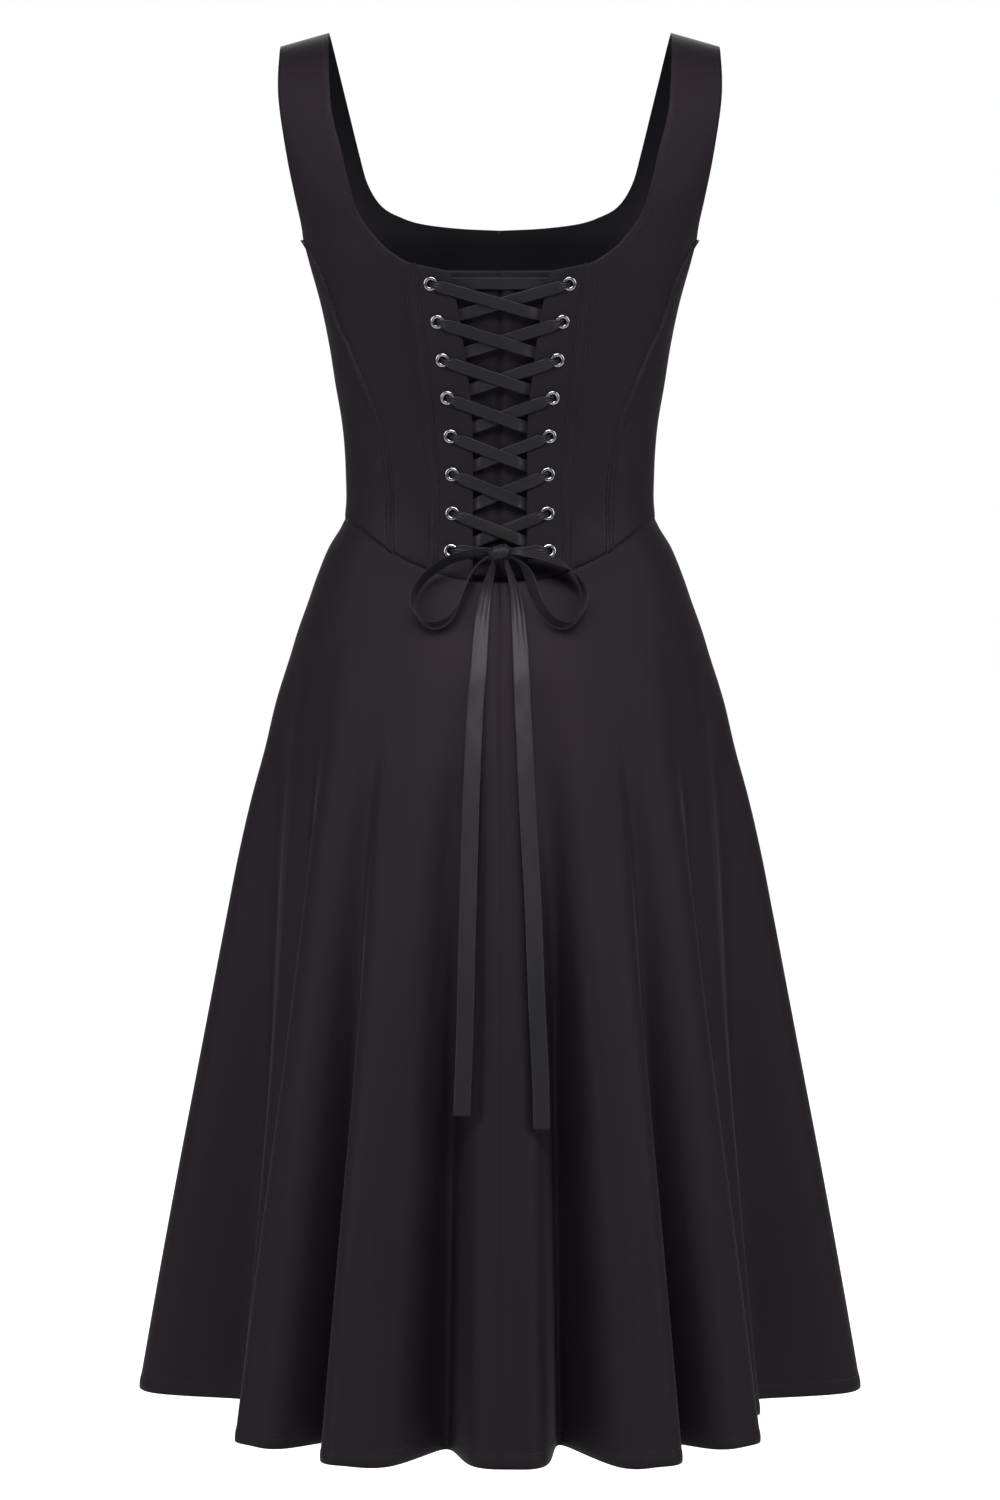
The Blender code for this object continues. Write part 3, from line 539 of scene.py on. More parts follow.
neck = edge(BACK_NECK, STRAP_ROWS + 1)
inner_seam = edge(INNER_SEAM, PANEL_ROWS, to_waist=True)
armhole = edge(BACK_ARMHOLE, STRAP_ROWS)
back_seam = edge(BACK_SEAM, PANEL_ROWS + 1, to_waist=True)
back_inner = np.concatenate([neck, inner_seam[1:]])
back_outer = np.concatenate([armhole, back_seam[1:]])
for side_name, side in SIDES:
    points, places = laid(fill(back_inner, back_outer, PANEL_COLUMNS), side,
                          ("seam", "seam", "", "seam"))
    sewn(piece("sateen_back_panel_" + side_name, points, places, (sateen, lining)),
         "back_panel_" + side_name)

# Lacing flaps: a doubled strip of the same sateen each side of the opening, with a row of
# punched holes that the eyelets are set in. Its free edge is folded, not hemmed.
FLAP_EDGE = ((191, 38.8), (212.5, 34.5), (232, 30.8), (258.5, 27.1), (291, 23.1), (320.5, 21.4),
             (361, 21.3), (440, 21.3))
# Eyelets of one flap, top to bottom: drop, distance from the middle.
EYELETS = ((201, 54.1), (230.5, 48.9), (260.2, 45), (289.6, 41.3), (319.5, 38.8),
           (349.3, 37.6), (379.8, 37.4), (409, 38.5))
HOLE_RADIUS = 3.4 * MM
PUCKER, PUCKER_RADIUS, PUCKER_SOFT = 0.35 * MM, 4.5 * MM, 3 * MM
FLAP_ROWS, FLAP_COLUMNS = 240, 40

flap_edge = edge(FLAP_EDGE, FLAP_ROWS, to_waist=True)
flap_grid = fill(flap_edge, edge(INNER_SEAM, FLAP_ROWS, to_waist=True), FLAP_COLUMNS)
for side_name, side in SIDES:
    turned = sided(flap_grid, side)
    flat = form(turned[..., 0], turned[..., 1])
    kinds = ("edge", "seam", "edge", "seam") if side > 0 else ("seam", "edge", "edge", "seam")
    height = seam_heights(flat, kinds)
    holes = np.zeros(flat.shape[:2], bool)
    for drop, distance in EYELETS:
        centre = form(angle_at(side * distance * MM, drop * MM), drop * MM)
        away = np.linalg.norm(flat - centre, axis=2)
        holes |= away < HOLE_RADIUS
        height -= PUCKER * np.exp(-((away - PUCKER_RADIUS) / PUCKER_SOFT) ** 2)
    points = surface(turned[..., 0], turned[..., 1], height)
    sewn(piece("sateen_flap_" + side_name, points, grain(flat), (sateen, lining), holes=holes),
         "lacing_flap_" + side_name)

# Modesty panel: one layer of sateen behind the lacing, caught in the seams beside the flaps.
# It is wider than the gap and stands in one soft fold down the middle.
MODESTY_SINK = 5.6 * MM
MODESTY_TOP, MODESTY_BOTTOM = 191 * MM, 428 * MM
MODESTY_INSET = 4 * MM
MODESTY_RISE = 0.86
FOLD_AT, FOLD_WIDE, FOLD_DEEP = -0.5 * MM, 3.4 * MM, 2.6 * MM
MODESTY_ROWS, MODESTY_COLUMNS = 120, 90

share = np.linspace(-1, 1, MODESTY_COLUMNS)[None, :]
drops = np.linspace(MODESTY_TOP, MODESTY_BOTTOM, MODESTY_ROWS)[:, None]
reach = smooth(INNER_SEAM, 1, drops / MM) * MM - MODESTY_INSET
across = share * reach
settle = np.clip((np.abs(share) - MODESTY_RISE) / (1 - MODESTY_RISE), 0, 1)
sink = -MODESTY_SINK + (MODESTY_SINK - 2.4 * MM) * settle
middle = FOLD_AT + 1.2 * MM * np.sin(drops / (31 * MM))
sink = sink + 1.2 * MM * np.exp(-((across - middle - 5 * MM) / (5 * MM)) ** 2)
sink = sink - FOLD_DEEP * np.exp(-((across - middle) / FOLD_WIDE) ** 2)
sink = sink + 0.5 * MM * np.exp(-((across + 12 * MM) / (4 * MM)) ** 2) * np.sin(drops / (17 * MM))
angles = angle_at(across, drops)
base = form(angles, drops)
points = base + outward(angles, drops + 0 * across) * sink[..., None]
modesty = piece("sateen_modesty_panel", points, grain(base), (sateen, lining))
sewn(modesty, "modesty_panel")

# Side panels: two each side, joined at the side seam and to the panels by the princess seams.
FRONT_SEAM = ((168, 152.3), (180, 138), (200, 120), (225, 104), (255, 92), (290, 83), (330, 77),
              (370, 74), (440, 73))
SIDE_DROP = 170 * MM
SIDE_COLUMNS = 44


def side_edge(angle, top, count):
    """Points down the side seam."""
    drops = np.linspace(top, float(waist(angle)), count)
    return np.stack([np.full(count, angle), drops], axis=1)


side_seam = side_edge(90.0, SIDE_DROP, PANEL_ROWS + 1)
front_seam = edge(FRONT_SEAM, PANEL_ROWS + 1, front=True, to_waist=True)
for part_name, grid, cut, cut_area in (
        ("side_back_", fill(back_seam, side_seam, SIDE_COLUMNS), (0.09, 0.277), 0.0143),
        ("side_front_", fill(side_seam, front_seam, SIDE_COLUMNS), (0.11, 0.282), 0.0221)):
    for side_name, side in SIDES:
        points, places = laid(grid, side, ("seam", "seam", "edge", "seam"))
        sewn(piece("sateen_" + part_name + side_name, points, places, (sateen, lining)),
             part_name + side_name)

# Front panel: one piece with both front straps, cut higher than the back neckline.
FRONT_NECK = ((0, 136), (25, 130.5), (47, 125.5), (89, 115.7), (115, 108.5), (133, 97),
              (142, 80.6), (147, 63.4), (150.5, 33), (152, 0))
FRONT_ARMHOLE = ((0, 174.5), (30, 173.5), (55, 170), (98, 161), (130, 154.5), (152, 152),
                 (168, 152.3))
FRONT_TOP = 152 * MM
FRONT_COLUMNS = 48

front_neck = edge(FRONT_NECK, STRAP_ROWS + 1, front=True)
front_arm = edge(FRONT_ARMHOLE, STRAP_ROWS, front=True)
centre_front = np.stack([np.full(PANEL_ROWS, 180.0),
                         np.linspace(FRONT_TOP, float(waist(180.0)), PANEL_ROWS)], axis=1)
front_inner = np.concatenate([front_neck, centre_front[1:]])
front_outer = np.concatenate([front_arm, front_seam[1:]])
right_half = fill(front_outer, front_inner, FRONT_COLUMNS)
halves, places = [], []
for _, side in SIDES:
    points, place = laid(right_half, side, ("seam", "", "", "seam"))
    neckline = -1 if side > 0 else 0
    points[STRAP_ROWS:, neckline, 0] = 0.0
    halves.append(points)
    places.append(place - place[:, neckline:][:, :1] * (1, 0))
bridge = np.zeros((len(right_half), 2 * FRONT_COLUMNS), bool)
bridge[:, FRONT_COLUMNS - 1] = True
front = piece("sateen_front_panel", np.concatenate(halves[::-1], axis=1),
              np.concatenate(places[::-1], axis=1), (sateen, lining), holes=bridge)
joined = bmesh.new()
joined.from_mesh(front.data)
bmesh.ops.remove_doubles(joined, verts=joined.verts, dist=0.01 * MM)
joined.to_mesh(front.data)
joined.free()
sewn(front, "front_panel")

# Boning casings: narrow strips of sateen stitched down both edges over the seams beside the
# flaps and over the back princess seams. The bone inside lifts each into a soft round ridge.
CASING_FLAT = 0.45 * MM
BONE_LIFT = 1.9 * MM
CASING_ROWS, CASING_COLUMNS = 180, 18
# name, seam, half width at the top and the waist, gap at the top edge, size and area of the cut
CASINGS = (
    ("casing_inner_", INNER_SEAM, 5.2, 4.2, 0.4, (0.012, 0.245), 0.0027),
    ("casing_seam_", BACK_SEAM, 3.0, 3.8, 1.2, (0.01, 0.28), 0.0023),
)


def casing_grid(rows, half_top, half_bottom):
    """A strip that follows a seam line: angles and drops, and its place across from -1 to 1."""
    share = np.linspace(0, 1, len(rows))
    half = (half_top + (half_bottom - half_top) * share) * MM
    beside = form(rows[:, 0] + 0.5, rows[:, 1])
    turn = 0.5 * half / np.linalg.norm(beside - form(*rows.T), axis=1)
    place = np.linspace(-1, 1, CASING_COLUMNS)
    grid = rows[:, None, :] + np.zeros((1, CASING_COLUMNS, 1))
    grid[:, :, 0] += turn[:, None] * place[None, :]
    grid[:, :, 1] += (waist(grid[-1, :, 0]) - grid[-1, 0, 1])[None, :] * (share ** 3)[:, None]
    return grid, place


casing_lines = []
for casing_name, seam, half_top, half_bottom, start, cut, cut_area in CASINGS:
    rows = edge(seam, CASING_ROWS, to_waist=True)
    rows[:, 1] = np.linspace(rows[0, 1] + start * MM, rows[-1, 1], CASING_ROWS)
    rows[:, 0] = np.interp(rows[:, 1], *edge(seam, 400, to_waist=True).T[::-1])
    grid, place = casing_grid(rows, half_top, half_bottom)
    for side_name, side in SIDES:
        turned = sided(grid, side)
        flat = form(turned[..., 0], turned[..., 1])
        wander = np.sin(turned[..., 1] / (9 * MM) + side) * 0.06
        tight = 1 + 0.12 * np.sin(turned[..., 1] / (5.3 * MM)) * np.sin(turned[..., 1] / (13 * MM))
        bone = np.exp(-((place[None, :] - wander) / 0.5) ** 4) * BONE_LIFT * tight
        ends = np.clip(edge_distances(flat)[3] / (5 * MM), 0, 1) ** 0.5
        height = CASING_FLAT + bone * (0.25 + 0.75 * ends)
        points = surface(turned[..., 0], turned[..., 1], height)
        sewn(piece("sateen_" + casing_name + side_name, points, grain(flat), (sateen,), 0.35 * MM),
             casing_name + side_name)
        casing_lines += [(turned[:, column], CASING_FLAT + 0.15 * MM)
                         for column in (1, CASING_COLUMNS - 2)]

# Skirt: two back quarters joined by the centre back seam and one front half, cut as a half
# circle in all and sewn to the bodice at the dipped waist. It hangs in deep soft folds.
SKIRT_ROWS = 138
HEM_TURN = 11 * MM
HEM_STEP = 0.45 * MM
HEM_STEP_SOFT = 1.5 * MM
HEM_DRAW, HEM_DRAW_SOFT = 0.27 * MM, 1.2 * MM
# Share of the rows that crowd at the waist and the hem, and how far the others open downwards.
CROWDED, ROW_OPENING = 0.38, 1.15
CUT_RADIUS = 0.222
# Cut of a 45 degree sector of the half circle, and of the 90 degree one at the front.
QUARTER_CUT, QUARTER_AREA = (0.655, 0.77), 0.317
FRONT_CUT, FRONT_AREA = (1.31, 0.77), 0.635
SKIRT_PIECES = (
    # name, seam angles, columns, size and area of the cut
    ("skirt_back_left", -90, 0, 250, QUARTER_CUT, QUARTER_AREA),
    ("skirt_back_right", 0, 90, 250, QUARTER_CUT, QUARTER_AREA),
    ("skirt_front", 90, 270, 290, FRONT_CUT, FRONT_AREA),
)
# Creases of the skirt, as those of the bodice.
SKIRT_CREASES = (
    (-3, 470, -6, 640, 9, 1.2), (7, 452, 10, 600, 9, -1.2),
)


def skirt_surface(angle, drop, height=0.0):
    """Point of the skirt's outer face, with its smaller creases."""
    lift = creased(SKIRT_CREASES, angle, drop) + np.asarray(height, float)
    return form(angle, drop) + outward(angle, drop) * lift[..., None]


for skirt_name, start, end, columns, cut, cut_area in SKIRT_PIECES:
    angles = start + (end - start) * shares(columns, 0.5)
    top = waist(angles)
    down = np.linspace(0, 1, SKIRT_ROWS) ** ROW_OPENING
    down = (1 - CROWDED) * down + CROWDED * shares(SKIRT_ROWS, 0.95)
    drops = top[None, :] + (HEM_DROP - top)[None, :] * down[:, None]
    angles = np.broadcast_to(angles, drops.shape)
    flat = form(angles, drops)
    height = seam_heights(flat, ("seam", "seam", "seam", "edge"))
    up = edge_distances(flat)[3]
    height += HEM_STEP * np.clip((HEM_TURN - up) / HEM_STEP_SOFT + 0.5, 0, 1)
    height -= HEM_DRAW * np.exp(-((up - HEM_TURN) / HEM_DRAW_SOFT) ** 2)
    points = skirt_surface(angles, drops, height)
    reach = CUT_RADIUS + drops - top
    turn = np.radians(angles) / 2
    places = np.stack([reach * np.sin(turn), -reach * np.cos(turn)], axis=-1)
    body = piece("sateen_" + skirt_name, points, places, (sateen,))
    sewn(body, skirt_name)

# Topstitching: one row of black thread along the necklines and the armholes, a row down each
# edge of every casing, and one round the hem. Thread is laid out by a stitch tree, which puts
# one small rounded stitch after another along each line.
STITCH_LENGTH, STITCH_GAP, STITCH_WIDTH = 2.3 * MM, 0.7 * MM, 0.42 * MM
THREAD = (0.02, 0.018, 0.021, 1)

thread = bpy.data.materials.new("black thread")
thread.use_nodes = True
thread_shader = thread.node_tree.nodes["Principled BSDF"]
thread_shader.inputs["Roughness"].default_value = 0.4
thread_shader.inputs["Sheen Weight"].default_value = 0.2
twist_place = thread.node_tree.nodes.new("ShaderNodeTexCoord")
twist = noise(thread.node_tree, stretched(thread.node_tree, twist_place.outputs["Object"],
                                          (3000, 3000, 3000)), 1.0, 1.0)
twist_tint = thread.node_tree.nodes.new("ShaderNodeMix")
twist_tint.data_type = "RGBA"
twist_tint.inputs["A"].default_value = tuple(0.6 * c for c in THREAD[:3]) + (1,)
twist_tint.inputs["B"].default_value = THREAD
thread.node_tree.links.new(twist, twist_tint.inputs["Factor"])
thread.node_tree.links.new(twist_tint.outputs["Result"], thread_shader.inputs["Base Color"])


def tree_of(name, inputs):
    """A new Geometry Nodes tree with named inputs: its group, input node and socket names."""
    tree = bpy.data.node_groups.new(name, "GeometryNodeTree")
    tree.interface.new_socket("Geometry", in_out="INPUT", socket_type="NodeSocketGeometry")
    for socket, kind in inputs:
        tree.interface.new_socket(socket, in_out="INPUT", socket_type="NodeSocket" + kind)
    tree.interface.new_socket("Geometry", in_out="OUTPUT", socket_type="NodeSocketGeometry")
    return tree, tree.nodes.new("NodeGroupInput"), tree.nodes.new("NodeGroupOutput")


def step(tree, kind, settings=None, **links):
    """A node of a tree, its settings, and its inputs by name: a socket or a value."""
    node = tree.nodes.new(kind)
    for setting, value in (settings or {}).items():
        setattr(node, setting, value)
    for name, value in links.items():
        slot = node.inputs[name.replace("_", " ")]
        if isinstance(value, bpy.types.NodeSocket):
            tree.links.new(value, slot)
        else:
            slot.default_value = value
    return node


def made(name, mesh, tree, values):
    """A mesh made by a tree: the modifier's inputs are set by identifier, then it is applied."""
    seed = bpy.data.objects.new(name + "_seed", mesh)
    bpy.context.scene.collection.objects.link(seed)
    modifier = seed.modifiers.new("tree", "NODES")
    modifier.node_group = tree
    for item in tree.interface.items_tree:
        if item.in_out == "INPUT" and item.name in values:
            modifier[item.identifier] = values[item.name]
    graph = bpy.context.evaluated_depsgraph_get()
    finished = bpy.data.meshes.new_from_object(seed.evaluated_get(graph))
    seed.modifiers.remove(modifier)
    bpy.data.objects.remove(seed)
    finished.name = name
    finished.shade_smooth()
    body = bpy.data.objects.new(name, finished)
    bpy.context.scene.collection.objects.link(body)
    return body


stitch_tree, given, result = tree_of("stitches along lines", (
    ("Length", "Float"), ("Gap", "Float"), ("Width", "Float"), ("Thread", "Material")))
lines = step(stitch_tree, "GeometryNodeMeshToCurve", Mesh=given.outputs["Geometry"])
pitch = maths(stitch_tree, "ADD", given.outputs["Length"], given.outputs["Gap"]).node
spaced = step(stitch_tree, "GeometryNodeResampleCurve", {"mode": "LENGTH"},
              Curve=lines.outputs[0], Length=pitch.outputs[0])
stitch = step(stitch_tree, "GeometryNodeMeshIcoSphere", Radius=0.5, Subdivisions=1)
size = step(stitch_tree, "ShaderNodeCombineXYZ", X=given.outputs["Length"],
            Y=given.outputs["Width"], Z=given.outputs["Width"])
along = step(stitch_tree, "FunctionNodeAlignRotationToVector", {"axis": "X"},
             Vector=step(stitch_tree, "GeometryNodeInputTangent").outputs[0])
sewing = step(stitch_tree, "GeometryNodeInstanceOnPoints", Points=spaced.outputs[0],
              Instance=stitch.outputs[0], Rotation=along.outputs[0], Scale=size.outputs[0])
solid = step(stitch_tree, "GeometryNodeRealizeInstances", Geometry=sewing.outputs[0])
coloured = step(stitch_tree, "GeometryNodeSetMaterial", Geometry=solid.outputs[0],
                Material=given.outputs["Thread"])
stitch_tree.links.new(coloured.outputs[0], result.inputs[0])


def stitched(name, lines):
    """Rows of stitches along lines of points."""
    mesh = bpy.data.meshes.new(name)
    points = np.concatenate(lines)
    starts = np.cumsum([0] + [len(line) for line in lines])
    pairs = [(k, k + 1) for a, b in zip(starts, starts[1:]) for k in range(a, b - 1)]
    mesh.from_pydata(points.tolist(), pairs, [])
    body = made(name, mesh, stitch_tree, {"Length": STITCH_LENGTH, "Gap": STITCH_GAP,
                                          "Width": STITCH_WIDTH, "Thread": thread})
    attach(body, "root")
    return body


def beside(line, inward, side, place=surface, height=0.1 * MM):
    """A line of the cloth moved along it by degrees and drops, on one side of the dress."""
    moved = np.asarray(line, float) + inward
    return place(moved[:, 0] * side, moved[:, 1], height + np.zeros(len(moved)))


def inset(line, distance):
    """Angles and drops of a line moved sideways over the cloth by a distance."""
    points = form(*line.T)
    run = np.gradient(points, axis=0)
    normal = outward(*line.T)
    sideways = np.cross(run, normal)
    sideways /= np.linalg.norm(sideways, axis=1, keepdims=True)
    turn, drop = 0.05, 0.2 * MM
    per_turn = (form(line[:, 0] + turn, line[:, 1]) - points) / turn
    per_drop = (form(line[:, 0], line[:, 1] + drop) - points) / drop
    moved = []
    for k, way in enumerate(sideways * distance):
        both = np.linalg.lstsq(np.stack([per_turn[k], per_drop[k]], axis=1), way, rcond=None)[0]
        moved.append(line[k] + both)
    return np.array(moved)


TOPSTITCH = 4.2 * MM
rows = []
for side_name, side in SIDES:
    for line, distance in ((neck, -TOPSTITCH), (armhole, TOPSTITCH)):
        rows.append(beside(inset(line[3:], distance), 0, side))
    for line, distance in ((front_neck, TOPSTITCH), (front_arm, -TOPSTITCH)):
        rows.append(beside(inset(line[3:], distance), 0, side))
rows += [surface(*line.T, height + np.zeros(len(line))) for line, height in casing_lines]
stitched("bodice_stitching", rows)
around = np.linspace(-96, 264, 2400)
hem_line = np.stack([around, np.full(len(around), HEM_DROP - HEM_TURN)], axis=1)
stitched("hem_stitching", [skirt_surface(*hem_line.T, 0.25 * MM + np.zeros(len(around)))])

# Eyelets: sixteen two-part nickel-plated eyelets, each a rolled rim with a barrel pressed
# through the flap and a washer behind. A tree sets one at each marked point of the flaps.
EYELET_OUTER, EYELET_HOLE = 5.3 * MM, 2.9 * MM
EYELET_RISE, EYELET_BARREL = 0.85 * MM, 2.4 * MM
NICKEL = (0.80, 0.80, 0.82, 1)

nickel = bpy.data.materials.new("nickel plate")
nickel.use_nodes = True
nickel_shader = nickel.node_tree.nodes["Principled BSDF"]
nickel_shader.inputs["Base Color"].default_value = NICKEL
nickel_shader.inputs["Metallic"].default_value = 1.0
nickel_place = nickel.node_tree.nodes.new("ShaderNodeTexCoord")
rub = noise(nickel.node_tree, stretched(nickel.node_tree, nickel_place.outputs["Object"],
                                        (900, 900, 900)), 1.0, 3.0)
nickel.node_tree.links.new(maths(nickel.node_tree, "MULTIPLY_ADD", rub, 0.2, 0.1),
                           nickel_shader.inputs["Roughness"])

eyelet_tree, given, result = tree_of("eyelets on points", (
    ("Outer", "Float"), ("Hole", "Float"), ("Rise", "Float"), ("Barrel", "Float"),
    ("Metal", "Material")))
outer, hole = given.outputs["Outer"], given.outputs["Hole"]


def turned_ring(radius, wide, tall, lift):
    """A ring swept round the eyelet's axis, with an oval section."""
    path = step(eyelet_tree, "GeometryNodeCurvePrimitiveCircle", Resolution=36, Radius=radius)
    oval = step(eyelet_tree, "GeometryNodeCurvePrimitiveCircle", Resolution=12, Radius=1.0)
    shape = step(eyelet_tree, "ShaderNodeCombineXYZ", X=wide, Y=tall, Z=1.0)
    section = step(eyelet_tree, "GeometryNodeTransform", Geometry=oval.outputs[0],
                   Scale=shape.outputs[0])
    swept = step(eyelet_tree, "GeometryNodeCurveToMesh", Curve=path.outputs[0],
                 Profile_Curve=section.outputs[0])
    up = step(eyelet_tree, "ShaderNodeCombineXYZ", Z=lift)
    return step(eyelet_tree, "GeometryNodeTransform", Geometry=swept.outputs[0],
                Translation=up.outputs[0]).outputs[0]


middle_radius = maths(eyelet_tree, "MULTIPLY", maths(eyelet_tree, "ADD", outer, hole), 0.5)
half_rim = maths(eyelet_tree, "MULTIPLY", maths(eyelet_tree, "SUBTRACT", outer, hole), 0.5)
half_rise = maths(eyelet_tree, "MULTIPLY", given.outputs["Rise"], 0.5)
rim = turned_ring(middle_radius, half_rim, half_rise, half_rise)
barrel = turned_ring(maths(eyelet_tree, "ADD", hole, 0.2 * MM), 0.2 * MM,
                     maths(eyelet_tree, "MULTIPLY", given.outputs["Barrel"], 0.5),
                     maths(eyelet_tree, "MULTIPLY", given.outputs["Barrel"], -0.3))
washer = turned_ring(middle_radius, half_rim, 0.2 * MM,
                     maths(eyelet_tree, "MULTIPLY", given.outputs["Barrel"], -0.75))
whole = eyelet_tree.nodes.new("GeometryNodeJoinGeometry")
for part in (rim, barrel, washer):
    eyelet_tree.links.new(part, whole.inputs[0])
out_of_cloth = step(eyelet_tree, "GeometryNodeInputNamedAttribute", {"data_type": "FLOAT_VECTOR"},
                    Name="out")
facing = step(eyelet_tree, "FunctionNodeAlignRotationToVector", {"axis": "Z"},
              Vector=out_of_cloth.outputs[0])
set_in = step(eyelet_tree, "GeometryNodeInstanceOnPoints", Points=given.outputs["Geometry"],
              Instance=whole.outputs[0], Rotation=facing.outputs[0])
solid = step(eyelet_tree, "GeometryNodeRealizeInstances", Geometry=set_in.outputs[0])
plated = step(eyelet_tree, "GeometryNodeSetMaterial", Geometry=solid.outputs[0],
              Material=given.outputs["Metal"])
eyelet_tree.links.new(plated.outputs[0], result.inputs[0])

marks, outs = [], []
for _, side in SIDES:
    for drop, distance in EYELETS:
        angle = angle_at(side * distance * MM, drop * MM)
        marks.append(form(angle, drop * MM))
        outs.append(outward(angle, drop * MM))
mark_mesh = bpy.data.meshes.new("eyelet marks")
mark_mesh.from_pydata(np.array(marks).tolist(), [], [])
out_data = mark_mesh.attributes.new("out", "FLOAT_VECTOR", "POINT")
out_data.data.foreach_set("vector", np.array(outs).ravel())
eyelets = made("nickel_eyelets", mark_mesh, eyelet_tree,
               {"Outer": EYELET_OUTER, "Hole": EYELET_HOLE, "Rise": EYELET_RISE,
                "Barrel": EYELET_BARREL, "Metal": nickel})
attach(eyelets, "root")
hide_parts(*[f"eyelet_{side_name}_{number}" for side_name, _ in SIDES
                       for number in range(1, len(EYELETS) + 1)])

# Lacing ribbon: one soft black satin ribbon, woven flat with firm edges. From a bar behind the
# top pair of eyelets both ends come out, cross and go in below, down to the last pair. It is
# gathered where it passes each eyelet.
LACE_WIDTH = 9.2 * MM
LACE_COMING_OUT = ((-0.4, -0.7, 0.37), (-0.1, 1.1, 0.37), (1.2, 2.1, 0.42), (4, 2.4, 0.66),
                   (9.5, 1.4, 1))
LACE_GOING_IN = ((10, -3.4, 1), (4.2, -3.8, 0.68), (1.3, -3.7, 0.42), (-0.2, -2.5, 0.37))
LACE_OVER, LACE_UNDER, LACE_BEHIND, BAR_SINK = 1.2, -0.5, -3, -3.9
LACE_TO_KNOT = ((22, 1.8, 0.95), (14, 3.1, 0.8), (6.5, 4.9, 0.6))
RIBBON_THICK = 0.45 * MM
SELVEDGE = 0.12 * MM
RIBBON_BLACK = (0.028, 0.027, 0.03, 1)
ribbon_satin = woven("ribbon satin", RIBBON_BLACK, 0.36, 0.1, thread=0.0003, slub=0.25)


def finer(stations, times):
    """Rows of numbers with a smooth curve through them, a number of times finer."""
    rows = np.asarray(stations, float)
    slopes = np.gradient(rows, axis=0)
    out = []
    for k in range(len(rows) - 1):
        for u in np.linspace(0, 1, times, endpoint=False):
            out.append((1 + 2 * u) * (1 - u) ** 2 * rows[k] + u * (1 - u) ** 2 * slopes[k]
                       + u * u * (3 - 2 * u) * rows[k + 1] + u * u * (u - 1) * slopes[k + 1])
    return np.array(out + [rows[-1]])


def ribbon(name, stations, width, times=6, waves=3, cup=0.25 * MM):
    """A flat ribbon through stations of centre, direction across and share of full width.

    Where it is narrower than its width, it is gathered into lengthwise waves."""
    table = np.array([[*centre, *across, share] for centre, across, share in stations])
    table = finer(table, times)
    centres, across, share = table[:, :3], table[:, 3:6], np.clip(table[:, 6:7], 0.3, 1)
    run = np.gradient(centres, axis=0)
    run /= np.linalg.norm(run, axis=1, keepdims=True)
    across = across - run * np.sum(across * run, axis=1, keepdims=True)
    across /= np.linalg.norm(across, axis=1, keepdims=True)
    face = np.cross(run, across)
    place = np.linspace(-1, 1, 15)
    travel = np.concatenate([[0], np.cumsum(np.linalg.norm(np.diff(centres, axis=0), axis=1))])
    gathered = (1 - share) * 1.3 * MM
    lift = gathered * np.cos(waves * math.pi * place[None, :] + 0.6 * np.sin(travel / 0.011)[:, None])
    lift = lift + cup * (place[None, :] ** 2 - 0.4) * share
    lift = lift + 0.12 * MM * np.sin(travel / 0.006)[:, None] * np.sin(2.2 * place)[None, :]
    half = RIBBON_THICK / 2 + SELVEDGE * (np.abs(place) > 0.9)
    half = half * np.where(np.abs(place) == 1, 0.45, 1)
    middle = centres[:, None, :] + across[:, None, :] * (place[None, :] * share * width / 2)[..., None]
    top = middle + face[:, None, :] * (lift + half)[..., None]
    under = middle + face[:, None, :] * (lift - half)[..., None]
    loop = np.concatenate([top, under[:, ::-1]], axis=1)
    rows, ring = loop.shape[:2]
    corner = (np.arange(rows - 1)[:, None] * ring + np.arange(ring)[None, :])
    following = (np.arange(rows - 1)[:, None] * ring + (np.arange(ring) + 1)[None, :] % ring)
    quads = np.stack([corner, corner + ring, following + ring, following], axis=-1).reshape(-1, 4)
    ends = [list(range(ring))[::-1], [(rows - 1) * ring + k for k in range(ring)]]
    mesh = bpy.data.meshes.new(name)
    mesh.from_pydata(loop.reshape(-1, 3).tolist(), [], quads.tolist() + ends)
    side_place = np.concatenate([place, place[::-1]]) * width / 2
    places = np.stack([np.broadcast_to(side_place, (rows, ring)),
                       np.broadcast_to(travel[:, None], (rows, ring))], axis=-1).reshape(-1, 2)
    corners = [index for face in quads.tolist() + ends for index in face]
    layer = mesh.uv_layers.new(name="cloth")
    layer.data.foreach_set("uv", places[corners].ravel())
    mesh.shade_smooth()
    mesh.materials.append(ribbon_satin)
    outside = bmesh.new()
    outside.from_mesh(mesh)
    bmesh.ops.recalc_face_normals(outside, faces=outside.faces)
    outside.to_mesh(mesh)
    outside.free()
    body = bpy.data.objects.new(name, mesh)
    bpy.context.scene.collection.objects.link(body)
    return body, centres


def up_the_back(angle, drop):
    """Unit vector up along the cloth."""
    climb = form(angle, drop - MM, False) - form(angle, drop + MM, False)
    return climb / np.linalg.norm(climb)


def lace_station(x, drop, height, share):
    """A station of the lacing, with its width up the back."""
    angle = angle_at(x, drop)
    return (form(angle, drop) + outward(angle, drop) * height * MM, up_the_back(angle, drop), share)


